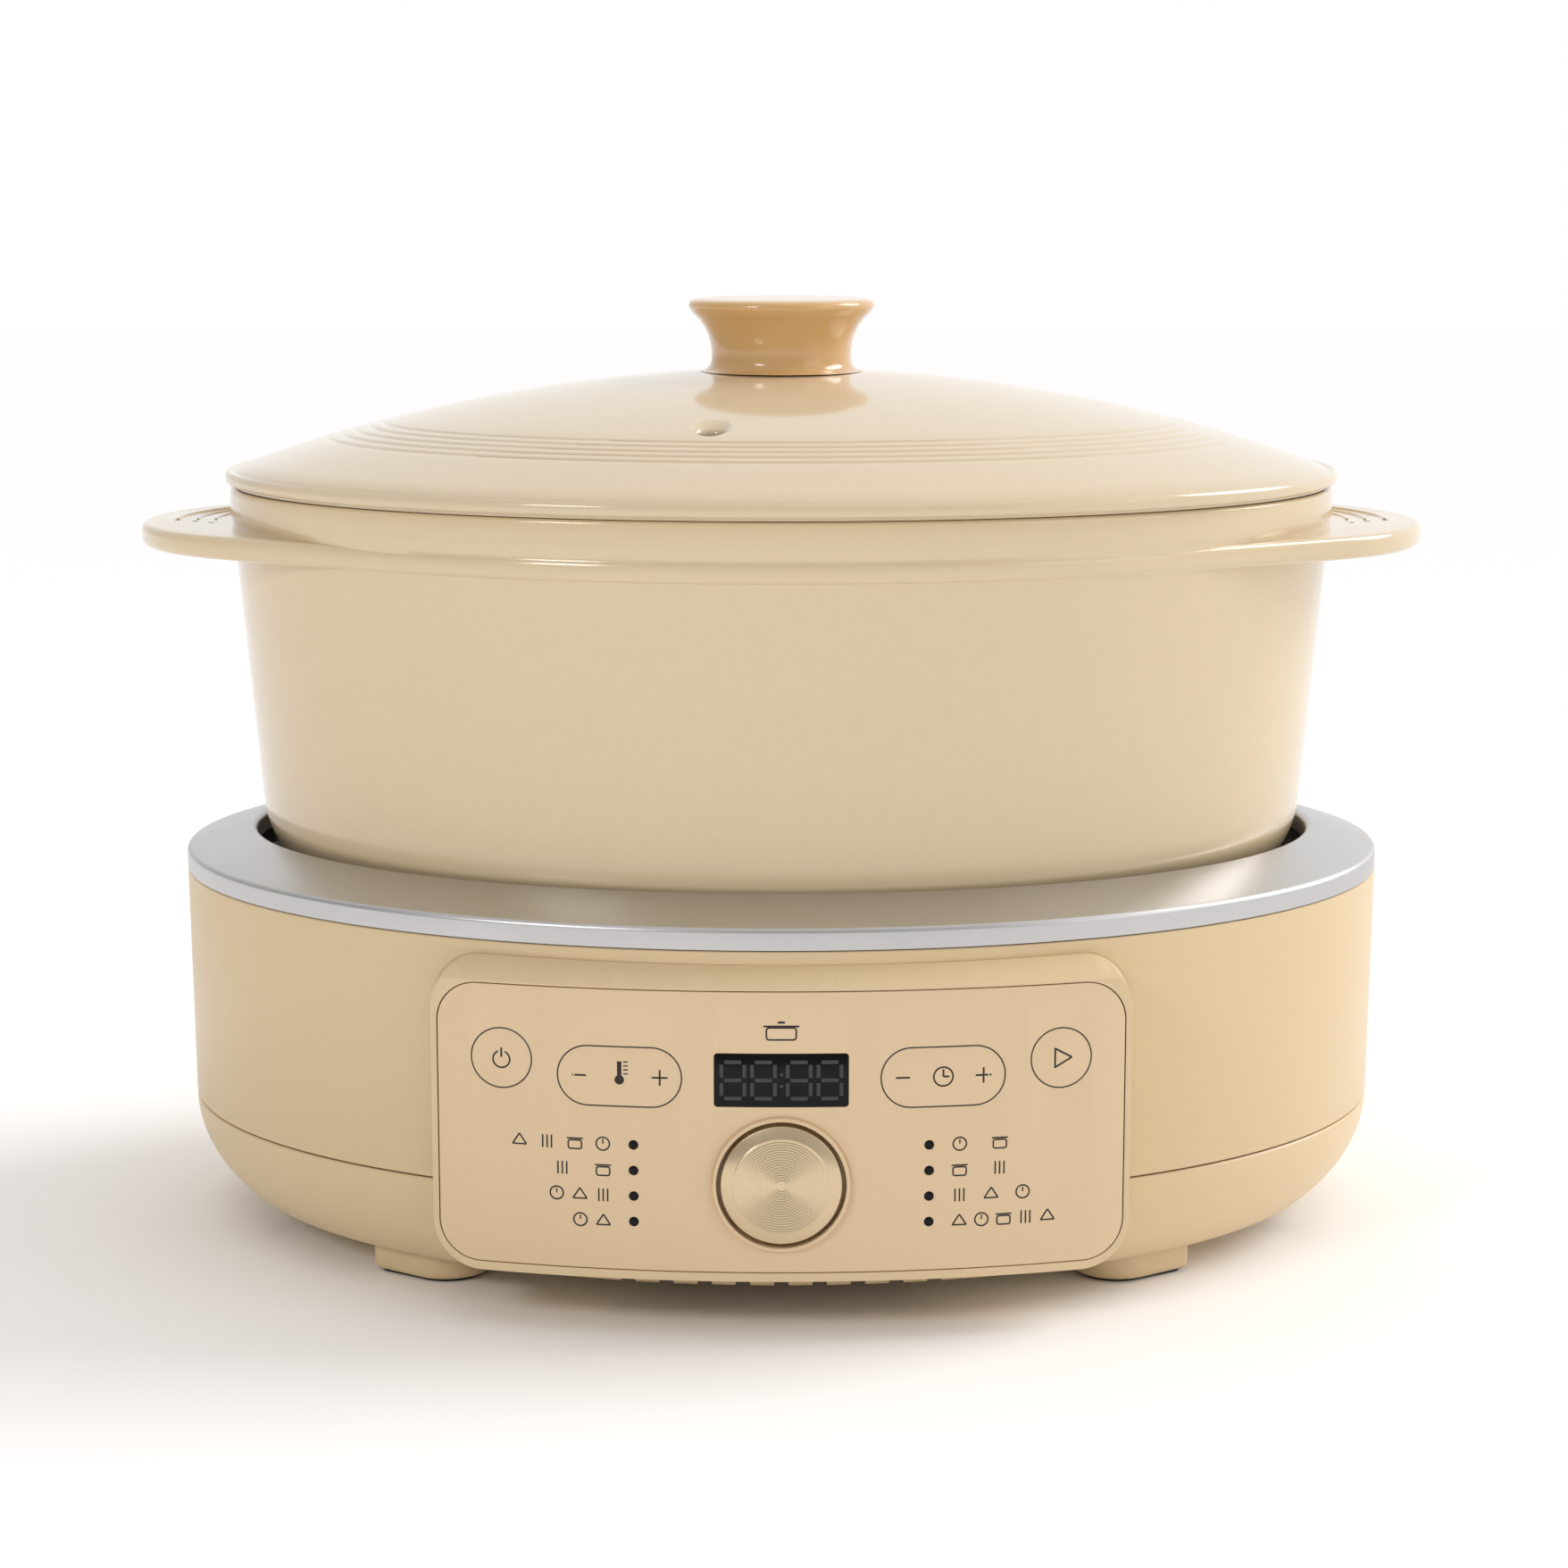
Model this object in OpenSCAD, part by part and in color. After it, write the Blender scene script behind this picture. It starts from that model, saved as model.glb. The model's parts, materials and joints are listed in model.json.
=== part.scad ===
/* [Base] */
// Length of the oval base, side to side
base_length = 360; // [356:1:364]
// Depth of the oval base, front to back
base_depth = 275; // [272:1:278]
// Height of the seam between the side wall and the metal ring
seam_height = 106; // [105.5:0.5:107]
// Height of the line where the bottom cover meets the side wall
parting_height = 37; // [36:0.5:38]
// Gap between the flat underside and the table
underside_height = 9; // [8:0.5:10]
// Wall thickness of the moulded casings
wall = 2.5; // [2:0.1:2.8]

/* [Metal ring] */
// Height of the ring's upright edge
ring_edge = 6.5; // [6:0.1:7]
// Height of the ring's inner edge above the seam
ring_rise = 12; // [11.5:0.1:12.5]
// Half length of the opening in the ring
ring_opening = 158.8; // [158.5:0.1:159.2]

/* [Pot] */
// Half length of the pot at its rim
pot_rim = 164.6; // [164:0.1:165]
// Height of the rim above the table
rim_height = 220; // [219:0.5:222]
// Height of the underside of the pot
pot_floor = 100; // [100:0.1:100.4]
// How far each handle reaches beyond the rim
handle_reach = 26.9; // [24:0.1:28]
// Thickness of the handle plates
handle_thickness = 6.7; // [6:0.1:7.5]

/* [Lid] */
// Radius of the lid's dome along its length
dome_radius = 475; // [470:1:480]
// Half length of the lid
lid_half = 166; // [165.8:0.1:166.4]
// Height of the top of the knob above the table
knob_top = 275; // [273:0.5:277]
// Radius of the knob's rim
knob_radius = 27.7; // [26:0.1:29]

/* [Control panel] */
// Radius of the panel's curved front
panel_radius = 300; // [295:1:305]
// Distance of the panel's front from the middle of the base
panel_front = 145; // [144.8:0.1:145.4]
// Width of the panel inside its frame
panel_width = 186.4; // [185:0.1:187]
// Radius of the dial
dial_radius = 16.4; // [16:0.1:16.6]
// Radius of the round keys
round_key = 8.1; // [7.8:0.1:8.2]

/* [Hidden] */

fine = 180;
round_fn = 48;
clear = 0.35;
inlet_proud = 1.5;
dial_proud = 2;
screw_head = 1;

// Ovals keep a constant distance between length and depth, so their walls are even all round
base_a = base_length / 2;
base_b = base_depth / 2;
base_step = base_a - base_b;
pot_step = 41.5;
pot_corner = 28;
pot_wall = 3.4;
shift_y = (panel_front + dial_proud - base_b - inlet_proud - screw_head) / 2;

// Casing heights
cover_drop = 40;
cover_sweep = 55;
parting_a = base_a - 1;
cover_angle = asin((parting_height - underside_height) / cover_drop);
underside_a = parting_a - cover_sweep * (1 - cos(cover_angle));
screw_a = 158;
screw_angles = [15, 60, 120, 165, 200, 340];
screw_base = underside_height + 15;
foot_radius = 13;

// Heating well and plate
well_a = 159;
well_floor = pot_floor - 6;
well_radius = 8;
plate_top = pot_floor - 0.3;
plate_bottom = plate_top - 11.7;
plate_a = 110;
plate_b = plate_a * base_b / base_a;
element_end = 43;
element_round = 47;
element_wire = 3.3;
terminal_x = 18;
post_places = [[62, 18], [-62, 18], [0, -32]];
ring_screw_angles = [30, 90, 150, 205, 335];
post_base = underside_height + 13;
shield_height = plate_bottom - 16;
shield_size = [124, 94];
sensor_bore = 13.2;

// Control panel
panel_axis = panel_radius - panel_front;
pod_width = panel_width + 4;
pod_low = 16.5;
pod_high = seam_height - 3.6;
panel_low = pod_low + 2.7;
panel_high = pod_high - 5.8;
pod_corner = 13.5;
panel_corner = 11;
pod_depth = 22;
tray_front = 5.6;
tray_back = 7.1;
panel_thickness = 2.5;
pod_screw_x = 99.5;
pod_screw_heights = [46, 84];
board_post_x = 70;
board_post_heights = [27, 90];
board_front = -126.4;
board_thickness = 1.6;
board_width = 160;
dial_height = 43.7;
dial_gap = 1.15;
bezel_width = 1.1;
window_height = 72.5;
window_size = [36.1, 14.7];
key_x = 75.6;
key_height = 76.4;
rocker_x = 43.5;
rocker_height = 72.8;
rocker_size = [33.2, 16.1];
rocker_switch = 11;
lamp_x = 39.8;
lamp_top = 54;
lamp_pitch = 7.13;
lamp_radius = 1.3;
switch_size = 6;
switch_height = 3.5;
plunger = 0.5;

// Rear inlet
inlet_height = 58;
inlet_socket = [24, 16.5, 17];
inlet_back = base_b + inlet_proud - 24;

// Power board
power_board_size = [100, 60, 1.6];
power_board_low = [-50, 30, underside_height + 11];
power_post_x = 46;
power_post_y = [34, 86];
board_top = power_board_low[2] + power_board_size[2];

// Pot handles: the plate's straight sides touch both its round end and the pot's oval, so the cosine of
// their slope solves a quadratic with the coefficients tangent_a, tangent_b and tangent_c
pot_b = pot_rim - pot_step;
handle_round = 68;
handle_centre = pot_rim + handle_reach - handle_round;
handle_high = rim_height - 10.7;
tangent_a = handle_centre * handle_centre - pot_rim * pot_rim + pot_b * pot_b;
tangent_b = 2 * handle_centre * handle_round;
tangent_c = handle_round * handle_round - pot_b * pot_b;
tangent_cos = (sqrt(tangent_b * tangent_b - 4 * tangent_a * tangent_c) - tangent_b) / (2 * tangent_a);
tangent_sin = sqrt(1 - tangent_cos * tangent_cos);
tangent_reach = handle_centre * tangent_cos + handle_round;

// Lid
dome_top = rim_height + 34;
lid_depth = lid_half - 40;
lip_low = rim_height + 1.3;
lid_skirt = 156.5;
lid_wall = 3.2;
vent_place = [-19.5, -81];
groove_first = 119;
groove_pitch = 4.05;

beige = "#d9bf98";
silver = "#cfcecc";
steel = "#b4b4b6";
black = "#1a1a1c";
green = "#2f6b45";

function arc(x, y, r, a0, a1, n = 6) =
    [for (i = [0 : n]) let (a = a0 + (a1 - a0) * i / n) [x + r * cos(a), y + r * sin(a)]];

// Distance of the panel's front from the base's middle plane at a sideways place x
function panel_y(x) = panel_axis - sqrt(panel_radius * panel_radius - x * x);

// Half length of the pot's drafted wall at a height
function pot_a(z) = pot_rim - 1.7 - (rim_height - 22.8 - z) * 0.09;

function screw_place(t) = [screw_a * cos(t), (screw_a - base_step) * sin(t)];
function screw_turn(t) = atan2(sin(t) / (screw_a - base_step), cos(t) / screw_a);

// A smooth curve through a route's points
function spline_point(p, i, t) =
    let (a = p[max(i - 1, 0)], b = p[i], c = p[i + 1], d = p[min(i + 2, len(p) - 1)])
    0.5 * ((2 * b) + (c - a) * t + (2 * a - 5 * b + 4 * c - d) * t * t
        + (3 * b - a - 3 * c + d) * t * t * t);
function spline(p, n = 4) =
    concat([for (i = [0 : len(p) - 2], k = [0 : n - 1]) spline_point(p, i, k / n)], [p[len(p) - 1]]);

function unit(v) = v / norm(v);
function along(p, i) = unit(p[min(i + 1, len(p) - 1)] - p[max(i - 1, 0)]);

// One ring of a swept section: its points lie across the route, with the first axis near side
function ring_at(p, i, section, side) =
    let (t = along(p, i), u = unit(side - (side * t) * t), v = cross(t, u))
    [for (s = section) p[i] + s[0] * u + s[1] * v];

module sweep(route, section, side = [1, 0, 0]) {
    p = spline(route);
    m = len(section);
    last = len(p) - 1;
    points = [for (i = [0 : last]) each ring_at(p, i, section, side)];
    sides = [
        for (i = [0 : last - 1], k = [0 : m - 1])
            let (a = i * m + k, b = i * m + (k + 1) % m)
            each [[a, a + m, b], [b, a + m, b + m]]
    ];
    caps = [[for (k = [0 : m - 1]) k], [for (k = [m - 1 : -1 : 0]) last * m + k]];
    polyhedron(points, concat(sides, caps));
}

function round_section(r, n = 8) = [for (i = [0 : n - 1]) [r * cos(360 * i / n), r * sin(360 * i / n)]];

module lead(route, r) sweep(route, round_section(r), [0.31, 0.17, 0.93]);

// Turns an outline of [half length, height] points into an oval body of half sizes a by b, in equal sectors
module oval_turn(a, b, outline, sectors = 1) scale([1, b / a, 1]) for (i = [0 : sectors - 1])
    rotate(i * 360 / sectors) rotate_extrude(angle = 360 / sectors, $fn = fine) polygon(outline);

module oval_disc(a, b, z0, z1, sectors = 1)
    oval_turn(a, b, [[0, z0], [a, z0], [a, z1], [0, z1]], sectors);

module oval_band(a, b, width, z0, z1, sectors = 1) difference() {
    oval_disc(a, b, z0, z1, sectors);
    oval_disc(a - width, b - width, z0 - 1, z1 + 1, sectors);
}

// Sweeps its child along an oval of four arcs: the child's x is the distance outward from the oval line.
// The end arcs overlap the side arcs by a hair, so that the four fuse into one solid.
module oval_sweep(a, b, end_r) {
    end_x = a - end_r;
    side_r = (end_x * end_x + b * b - end_r * end_r) / (2 * (b - end_r));
    side_y = side_r - b;
    half = atan2(side_y, end_x);
    lap = 0.3;
    for (turn = [0, 180]) rotate(turn) {
        translate([end_x, 0, 0]) rotate(-half - lap)
            rotate_extrude(angle = 2 * (half + lap), $fn = fine) translate([end_r, 0]) children();
        translate([0, -side_y, 0]) rotate(half)
            rotate_extrude(angle = 180 - 2 * half, $fn = fine) translate([side_r, 0]) children();
    }
}

// Draws its child, made in the length and height plane, between two depths
module across(y0, y1) translate([0, y1, 0]) rotate([90, 0, 0]) linear_extrude(y1 - y0) children();

module peg(x, z, r, y0, y1) translate([x, y1, z]) rotate([90, 0, 0])
    cylinder(r = r, h = y1 - y0, $fn = round_fn);

module rounded_box(w, z0, z1, r) {
    for (x = [-1, 1], z = [z0 + r, z1 - r]) translate([x * (w / 2 - r), z]) circle(r, $fn = round_fn);
    translate([r - w / 2, z0]) square([w - 2 * r, z1 - z0]);
    translate([-w / 2, z0 + r]) square([w, z1 - z0 - 2 * r]);
}

module pill(w, h, grow = 0) {
    for (x = [-1, 1]) translate([x * (w - h) / 2, 0]) circle(h / 2 + grow, $fn = round_fn);
    square([w - h, h + 2 * grow], center = true);
}

module pod_outline(grow = 0)
    rounded_box(pod_width + 2 * grow, pod_low - grow, pod_high + grow, pod_corner + grow);

module panel_outline(grow = 0)
    rounded_box(panel_width + 2 * grow, panel_low - grow, panel_high + grow, panel_corner + grow);

// A slab that follows the panel's curve, between two depths behind its front
module curved_slab(d0, d1, z0 = pod_low - 5, z1 = pod_high + 5) translate([0, panel_axis, z0]) difference() {
    cylinder(r = panel_radius - d0, h = z1 - z0, $fn = 360);
    translate([0, 0, -1]) cylinder(r = panel_radius - d1, h = z1 - z0 + 2, $fn = 360);
}

module on_panel(d0, d1) intersection() {
    curved_slab(d0, d1);
    across(-panel_front - 3, -90) children();
}

module pod_window(grow) across(-base_b - 20, -80) pod_outline(grow);

module at_pod_screws() for (x = [-pod_screw_x, pod_screw_x], z = pod_screw_heights)
    translate([x, 0, z]) children();

module at_board_posts() for (x = [-board_post_x, board_post_x], z = board_post_heights)
    translate([x, 0, z]) children();

module at_power_posts(z) for (x = [-power_post_x, power_post_x], y = power_post_y)
    translate([x, y, z]) children();

// Places its flat child at each lamp
module at_lamps() for (x = [-lamp_x, lamp_x], i = [0 : 3])
    translate([x, lamp_top - i * lamp_pitch]) children();

module mid_shell() color(beige) difference() {
    union() {
        difference() {
            oval_turn(base_a, base_b, [
                [0, parting_height], [parting_a, parting_height], [base_a, seam_height], [0, seam_height]
            ]);
            oval_turn(base_a - wall, base_b - wall, [
                [0, parting_height - 1], [parting_a - wall, parting_height - 1],
                [base_a - wall, seam_height - wall], [base_a - 10, seam_height - wall],
                [base_a - 10, seam_height + 1], [0, seam_height + 1]
            ]);
        }
        for (t = screw_angles) translate(screw_place(t)) rotate(screw_turn(t)) {
            translate([0, 0, parting_height]) cylinder(r = 5, h = 24, $fn = round_fn);
            translate([0, -1.2, parting_height]) cube([20.4, 2.4, 18]);
        }
        at_pod_screws() peg(0, 0, 3.4, -112.5, -108.7);
    }
    for (t = screw_angles) translate(concat(screw_place(t), parting_height - 1))
        cylinder(r = 1.5, h = 22, $fn = 24);
    for (t = ring_screw_angles) translate(concat(ring_screw_place(t), seam_height - 5))
        cylinder(r = 1.7, h = 9, $fn = 24);
    pod_window(clear);
    at_pod_screws() peg(0, 0, 1.2, -112, -105);
    across(base_b - 12, base_b + 5) translate([0, inlet_height]) square([29, 21.5], center = true);
    for (x = [-19, 19]) peg(x, inlet_height, 1.5, base_b - 12, base_b + 5);
}

function ring_screw_place(t) = [(base_a - 6.5) * cos(t), (base_b - 6.5) * sin(t)];

// A curved block that stands out under the cover's edge, rounded at its inner end
module foot_block(inset, z0, z1) {
    outer = underside_a - inset;
    mid = underside_a - foot_radius;
    end_x = 96;
    end_y = (mid - base_step) * sqrt(1 - pow(end_x / mid, 2));
    intersection() {
        oval_band(outer, outer - base_step, 2 * (foot_radius - inset), z0, z1);
        translate([end_x, end_y / 2, z0 - 1]) cube([21 - inset, 80, z1 - z0 + 2]);
    }
    translate([end_x, end_y, z0]) cylinder(r = foot_radius - inset, h = z1 - z0, $fn = round_fn);
}

module four_feet(inset, z0, z1) for (mx = [0, 1], my = [0, 1])
    mirror([mx, 0, 0]) mirror([0, my, 0]) foot_block(inset, z0, z1);

module cover_feet() color(beige) four_feet(0, 2, underside_height);

// Two rows of slots under the base, and a short row that runs out through its front corner
module vent_slots() {
    for (row = [-1, 1], i = [-7 : 7])
        translate([i * 8 - 1.6, row * 34 - 38, underside_height - 1]) cube([3.2, 26, wall + 3]);
    for (i = [-4 : 4]) translate([i * 10.6 - 2, 10 - base_b, underside_height - 1]) cube([4, 14, 4.5]);
}

module bottom_cover() color(beige) difference() {
    union() {
        difference() {
            oval_turn(parting_a, parting_a - base_step, cover_outline(0, 0));
            oval_turn(parting_a - wall, parting_a - wall - base_step, cover_outline(wall, 1));
        }
        for (t = screw_angles) translate(concat(screw_place(t), underside_height + 1))
            cylinder(r = 5.4, h = parting_height - underside_height - 1.3, $fn = round_fn);
        for (p = post_places) translate(concat(p, underside_height + 1))
            cylinder(r = 6, h = post_base - underside_height - 1, $fn = round_fn);
        at_power_posts(underside_height + 1)
            cylinder(r = 3, h = power_board_low[2] - underside_height - 1, $fn = 32);
    }
    for (t = screw_angles) translate(concat(screw_place(t), underside_height - 1)) {
        cylinder(r = 4, h = screw_base - underside_height + 1, $fn = round_fn);
        cylinder(r = 1.8, h = 40, $fn = 24);
    }
    for (p = post_places) translate(concat(p, underside_height - 1)) {
        cylinder(r = 3.6, h = 6, $fn = 32);
        cylinder(r = 1.8, h = 20, $fn = 24);
    }
    at_power_posts(underside_height + 4) cylinder(r = 1.2, h = 10, $fn = 24);
    vent_slots();
    pod_window(clear);
}

// The cover's outline: a quarter oval from the parting line, cut off flat at the underside
function cover_outline(inset, lift) = concat(
    [[0, underside_height + inset]],
    [for (i = [0 : 8]) let (s = cover_angle * (1 - i / 8))
        [parting_a - inset - cover_sweep * (1 - cos(s)),
            max(parting_height - 0.3 - cover_drop * sin(s), underside_height + inset)]],
    [[parting_a - inset, parting_height - 0.3 + lift], [0, parting_height - 0.3 + lift]]
);

module deck_ring() color(silver) difference() {
    union() {
        oval_sweep(base_a, base_b, base_b * 0.83) polygon(ring_outline());
        for (t = ring_screw_angles) translate(concat(ring_screw_place(t), seam_height + 1.2))
            cylinder(r = 3, h = 5.2, $fn = 32);
    }
    for (t = ring_screw_angles) translate(concat(ring_screw_place(t), seam_height))
        cylinder(r = 1.45, h = 5.5, $fn = 24);
}

// The ring is a folded sheet: an upright edge, a slope that rises inwards, and a rolled inner edge
function ring_outline() = let (inner = ring_opening - base_a, sheet = 1.4) concat(
    [[-sheet, seam_height + 0.3], [0, seam_height + 0.3]],
    arc(-1.6, seam_height + ring_edge - 1.6, 1.6, 0, 75, 4),
    [[inner + 2.2, seam_height + ring_rise]],
    [[inner, seam_height + ring_rise - 1.4], [inner, seam_height + ring_rise - 6]],
    [[inner + 1.2, seam_height + ring_rise - 6], [inner + 1.2, seam_height + ring_rise - 2]],
    [[inner + 2.6, seam_height + ring_rise - sheet], [-2.2, seam_height + ring_edge - sheet - 0.2]],
    [[-sheet, seam_height + ring_edge - sheet - 1]]
);

module deck_seal() color(black) difference() {
    oval_band(well_a + 6, well_a + 6 - base_step, 4, seam_height + 1.15, seam_height + 5.6, 4);
    oval_band(well_a + 4.8, well_a + 4.8 - base_step, 1.6, seam_height + 3, seam_height + 7, 4);
}

module heating_well() color(silver) difference() {
    oval_turn(base_a, base_b, well_outline(), 4);
    for (t = ring_screw_angles) translate(concat(ring_screw_place(t), seam_height - 1))
        cylinder(r = 1.7, h = 4, $fn = 24);
}

// The well is a drawn sheet: a flange, a wall, a round corner and a floor that frames the plate
function well_outline() = let (
    inner = plate_a + 7, corner_x = well_a - well_radius, corner_z = well_floor + well_radius
) concat(
    [[base_a - 3, seam_height], [well_a, seam_height]],
    arc(corner_x, corner_z, well_radius, 0, -90, 5),
    [[inner, well_floor], [inner, well_floor + 1]],
    arc(corner_x, corner_z, well_radius - 1, -90, 0, 5),
    [[well_a - 1, seam_height + 1.1], [base_a - 3, seam_height + 1.1]]
);

module heating_plate() color("#9a9a9c") difference() {
    oval_turn(plate_a, plate_b, concat(
        [[0, plate_bottom], [plate_a - 3, plate_bottom], [plate_a, plate_bottom + 3]],
        arc(plate_a - 1.5, plate_top - 1.5, 1.5, 0, 90, 3),
        [[0, plate_top]]
    ), 4);
    translate([0, 0, plate_bottom - 1]) cylinder(r = sensor_bore, h = 20, $fn = round_fn);
    for (p = post_places) translate(concat(p, plate_bottom - 1)) cylinder(r = 1.5, h = 8, $fn = 24);
}

// A tube bent into a loop with round ends, open at the rear where its two terminals hang down
module heating_element() color(steel) translate([0, 0, plate_bottom - element_wire - 0.05]) {
    for (turn = [0, 180]) rotate(turn) translate([element_end, 0, 0]) rotate(-90)
        rotate_extrude(angle = 180, $fn = fine) translate([element_round, 0]) circle(element_wire, $fn = 32);
    translate([-element_end, -element_round, 0]) rotate([0, 90, 0])
        cylinder(r = element_wire, h = 2 * element_end, $fn = 32);
    for (x = [-element_end, terminal_x]) translate([x, element_round, 0]) rotate([0, 90, 0])
        cylinder(r = element_wire, h = element_end - terminal_x, $fn = 32);
    for (x = [-terminal_x, terminal_x]) translate([x, element_round, -15])
        cylinder(r = 2.4, h = 15, $fn = 32);
}

module shield_tray(inset, top) let (a = shield_size[0] - inset) oval_turn(a, shield_size[1] - inset, [
    [0, shield_height + inset], [a - 4, shield_height + inset], [a, shield_height + 6],
    [a, shield_height + top], [0, shield_height + top]
]);

module heat_shield() color(silver) difference() {
    shield_tray(0, 14);
    shield_tray(0.8, 15);
    for (p = post_places) translate(concat(p, shield_height - 1)) cylinder(r = 4.3, h = 4, $fn = 32);
    translate([0, 0, shield_height - 1]) cylinder(r = 16, h = 4, $fn = round_fn);
    for (x = [-terminal_x, terminal_x]) translate([x, element_round, shield_height - 1])
        cylinder(r = 6, h = 4, $fn = 32);
}

module plate_posts() color(steel) for (p = post_places) translate(concat(p, post_base)) difference() {
    cylinder(r = 4, h = plate_bottom - post_base, $fn = 32);
    translate([0, 0, -1]) cylinder(r = 1.9, h = plate_bottom - post_base + 2, $fn = 24);
}

module plate_screws() color(steel) for (p = post_places) translate(concat(p, underside_height + 1.6)) {
    translate([0, 0, 1]) cylinder(r = 3.2, h = 2.4, $fn = 32);
    translate([0, 0, 2]) cylinder(r = 1.45, h = plate_bottom - underside_height + 2, $fn = 24);
}

module sensor_guide() color(steel) difference() {
    union() {
        translate([0, 0, plate_bottom - 12]) cylinder(r = 12.8, h = 21, $fn = round_fn);
        translate([0, 0, plate_bottom - 1.6]) cylinder(r = 20, h = 1.5, $fn = round_fn);
    }
    translate([0, 0, plate_bottom - 10.5]) cylinder(r = 10, h = 30, $fn = round_fn);
    translate([0, 0, plate_bottom - 13]) cylinder(r = 3, h = 5, $fn = 32);
}

module sensor_spring() color(steel) {
    turns = 5;
    steps = 14;
    low = plate_bottom - 9.7;
    rise = plate_top - 1.9 - low;
    sweep([for (i = [0 : turns * steps]) let (a = 360 * i / steps)
        [6.4 * cos(a), 6.4 * sin(a), low + rise * i / (turns * steps)]], round_section(0.5, 6), [0, 0, 1]);
}

module sensor_cap() color("#c9c9cb") difference() {
    translate([0, 0, plate_top - 9]) cylinder(r = 9.6, h = 9, $fn = round_fn);
    translate([0, 0, plate_top - 10]) cylinder(r = 8.6, h = 9, $fn = round_fn);
}

module thermal_fuse() color("#e8e2d2") translate([-14, 30, plate_bottom - 3.1]) rotate([0, 90, 0])
    cylinder(r = 2.9, h = 28, $fn = 32);

module fuse_clip() color(steel) difference() {
    translate([-5, 25.4, plate_bottom - 6.9]) cube([10, 9.2, 6.8]);
    translate([-6, 30, plate_bottom - 3.1]) rotate([0, 90, 0]) cylinder(r = 3, h = 12, $fn = 32);
    translate([-6, 27, plate_bottom - 3.1]) cube([12, 6, 4]);
}

module control_pod() color(beige) difference() {
    union() {
        intersection() {
            translate([0, panel_axis, 0]) rotate_extrude($fn = 360) polygon([
                [panel_radius - pod_depth, pod_low - 1], [panel_radius, pod_low - 1],
                [panel_radius, panel_high + 0.8], [panel_radius - 7.5, pod_high + 0.1],
                [panel_radius - pod_depth, pod_high + 0.1]
            ]);
            across(-panel_front - 3, -90) difference() {
                pod_outline();
                panel_outline(clear);
            }
        }
        on_panel(tray_front, tray_back) panel_outline(clear + 0.5);
        for (x = [-1, 1], z = pod_screw_heights) translate([x * (pod_screw_x - 1) - 5, -108.6, z - 4.5])
            cube([10, 2.2, 9]);
        for (x = [-rocker_x, rocker_x], z = [-1, 1]) rocker_cheek(x, rocker_height + z * 11);
        at_board_posts() peg(0, 0, 3, panel_y(board_post_x) + tray_front + 0.5, board_front);
    }
    at_pod_screws() peg(0, 0, 1.6, -112, -100);
    for (x = [-key_x, key_x]) peg(x, key_height, 10.2, -150, -100);
    for (x = [-rocker_x, rocker_x]) across(-150, -100) translate([x, rocker_height]) pill(35, 18);
    for (x = [-rocker_x, rocker_x]) translate([x, panel_y(rocker_x) + 3.9, rocker_height - 14])
        cylinder(r = 1.05, h = 28, $fn = 24);
    peg(0, dial_height, 16, -150, -100);
    across(-150, -100) translate([0, window_height]) square([34.6, 13.8], center = true);
    across(-150, -100) at_lamps() circle(2, $fn = 24);
    at_board_posts() peg(0, 0, 1.1, -132, -100);
}

module rocker_cheek(x, z) translate([x - 2.2, panel_y(rocker_x) + 2.8, z - 1])
    cube([4.4, 3.9, 2]);

module panel_face() color(beige) difference() {
    on_panel(0, panel_thickness) panel_outline();
    for (x = [-key_x, key_x]) peg(x, key_height, round_key + clear, -150, -100);
    across(-150, -100) for (x = [-rocker_x, rocker_x])
        translate([x, rocker_height]) pill(rocker_size[0], rocker_size[1], clear);
    peg(0, dial_height, bezel_outer() + 0.05, -150, -100);
    across(-150, -100) translate([0, window_height - window_size[1] / 2])
        rounded_box(window_size[0] + 0.1, -0.05, window_size[1] + 0.05, 1);
    across(-150, -100) at_lamps() circle(lamp_radius + 0.05, $fn = 24);
}

function bezel_outer() = dial_radius + dial_gap + bezel_width;

module dial_bezel() color(beige) difference() {
    union() {
        peg(0, dial_height, bezel_outer(), -panel_front - 1.3, -panel_front + 5.5);
        peg(0, dial_height, bezel_outer() + 1, -panel_front + panel_thickness + 0.6, -panel_front + 4.4);
    }
    peg(0, dial_height, dial_radius + dial_gap, -panel_front - 3, -panel_front + 4.4);
    peg(0, dial_height, 8, -panel_front - 3, -panel_front + 8);
}

module display_window() color(black) on_panel(0, panel_thickness)
    translate([0, window_height - window_size[1] / 2]) rounded_box(window_size[0], 0, window_size[1], 1);

module display_module() color("#2a2a2c") {
    across(-panel_front + 3.4, -panel_front + 11.4) translate([0, window_height])
        square([34, 13.2], center = true);
    for (x = [-14 : 4 : 14], z = [-4.5, 4.5])
        peg(x, window_height + z, 0.4, -panel_front + 11.4, board_front);
}

module lamp_lenses() color("#222226") for (x = [-lamp_x, lamp_x], i = [0 : 3])
    peg(x, lamp_top - i * lamp_pitch, lamp_radius, panel_y(lamp_x) - 0.05, board_front - 2.1);

module lamp_leds() color("#e9ecef") for (x = [-lamp_x, lamp_x], i = [0 : 3])
    translate([x - 1.6, board_front - 2, lamp_top - i * lamp_pitch - 1.4]) cube([3.2, 2, 2.8]);

module control_board() color(green) difference() {
    across(board_front, board_front + board_thickness) rounded_box(board_width, 22, 95, 3);
    at_board_posts() peg(0, 0, 1.5, -132, -100);
}

module tact_switches() color(black) {
    for (x = [-key_x, key_x]) tact_switch(x, key_height);
    for (c = [-rocker_x, rocker_x], s = [-rocker_switch, rocker_switch]) tact_switch(c + s, rocker_height);
}

module tact_switch(x, z) {
    translate([x - switch_size / 2, board_front - switch_height, z - switch_size / 2])
        cube([switch_size, switch_height, switch_size]);
    peg(x, z, 1.75, board_front - switch_height - plunger, board_front - switch_height);
}

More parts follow.
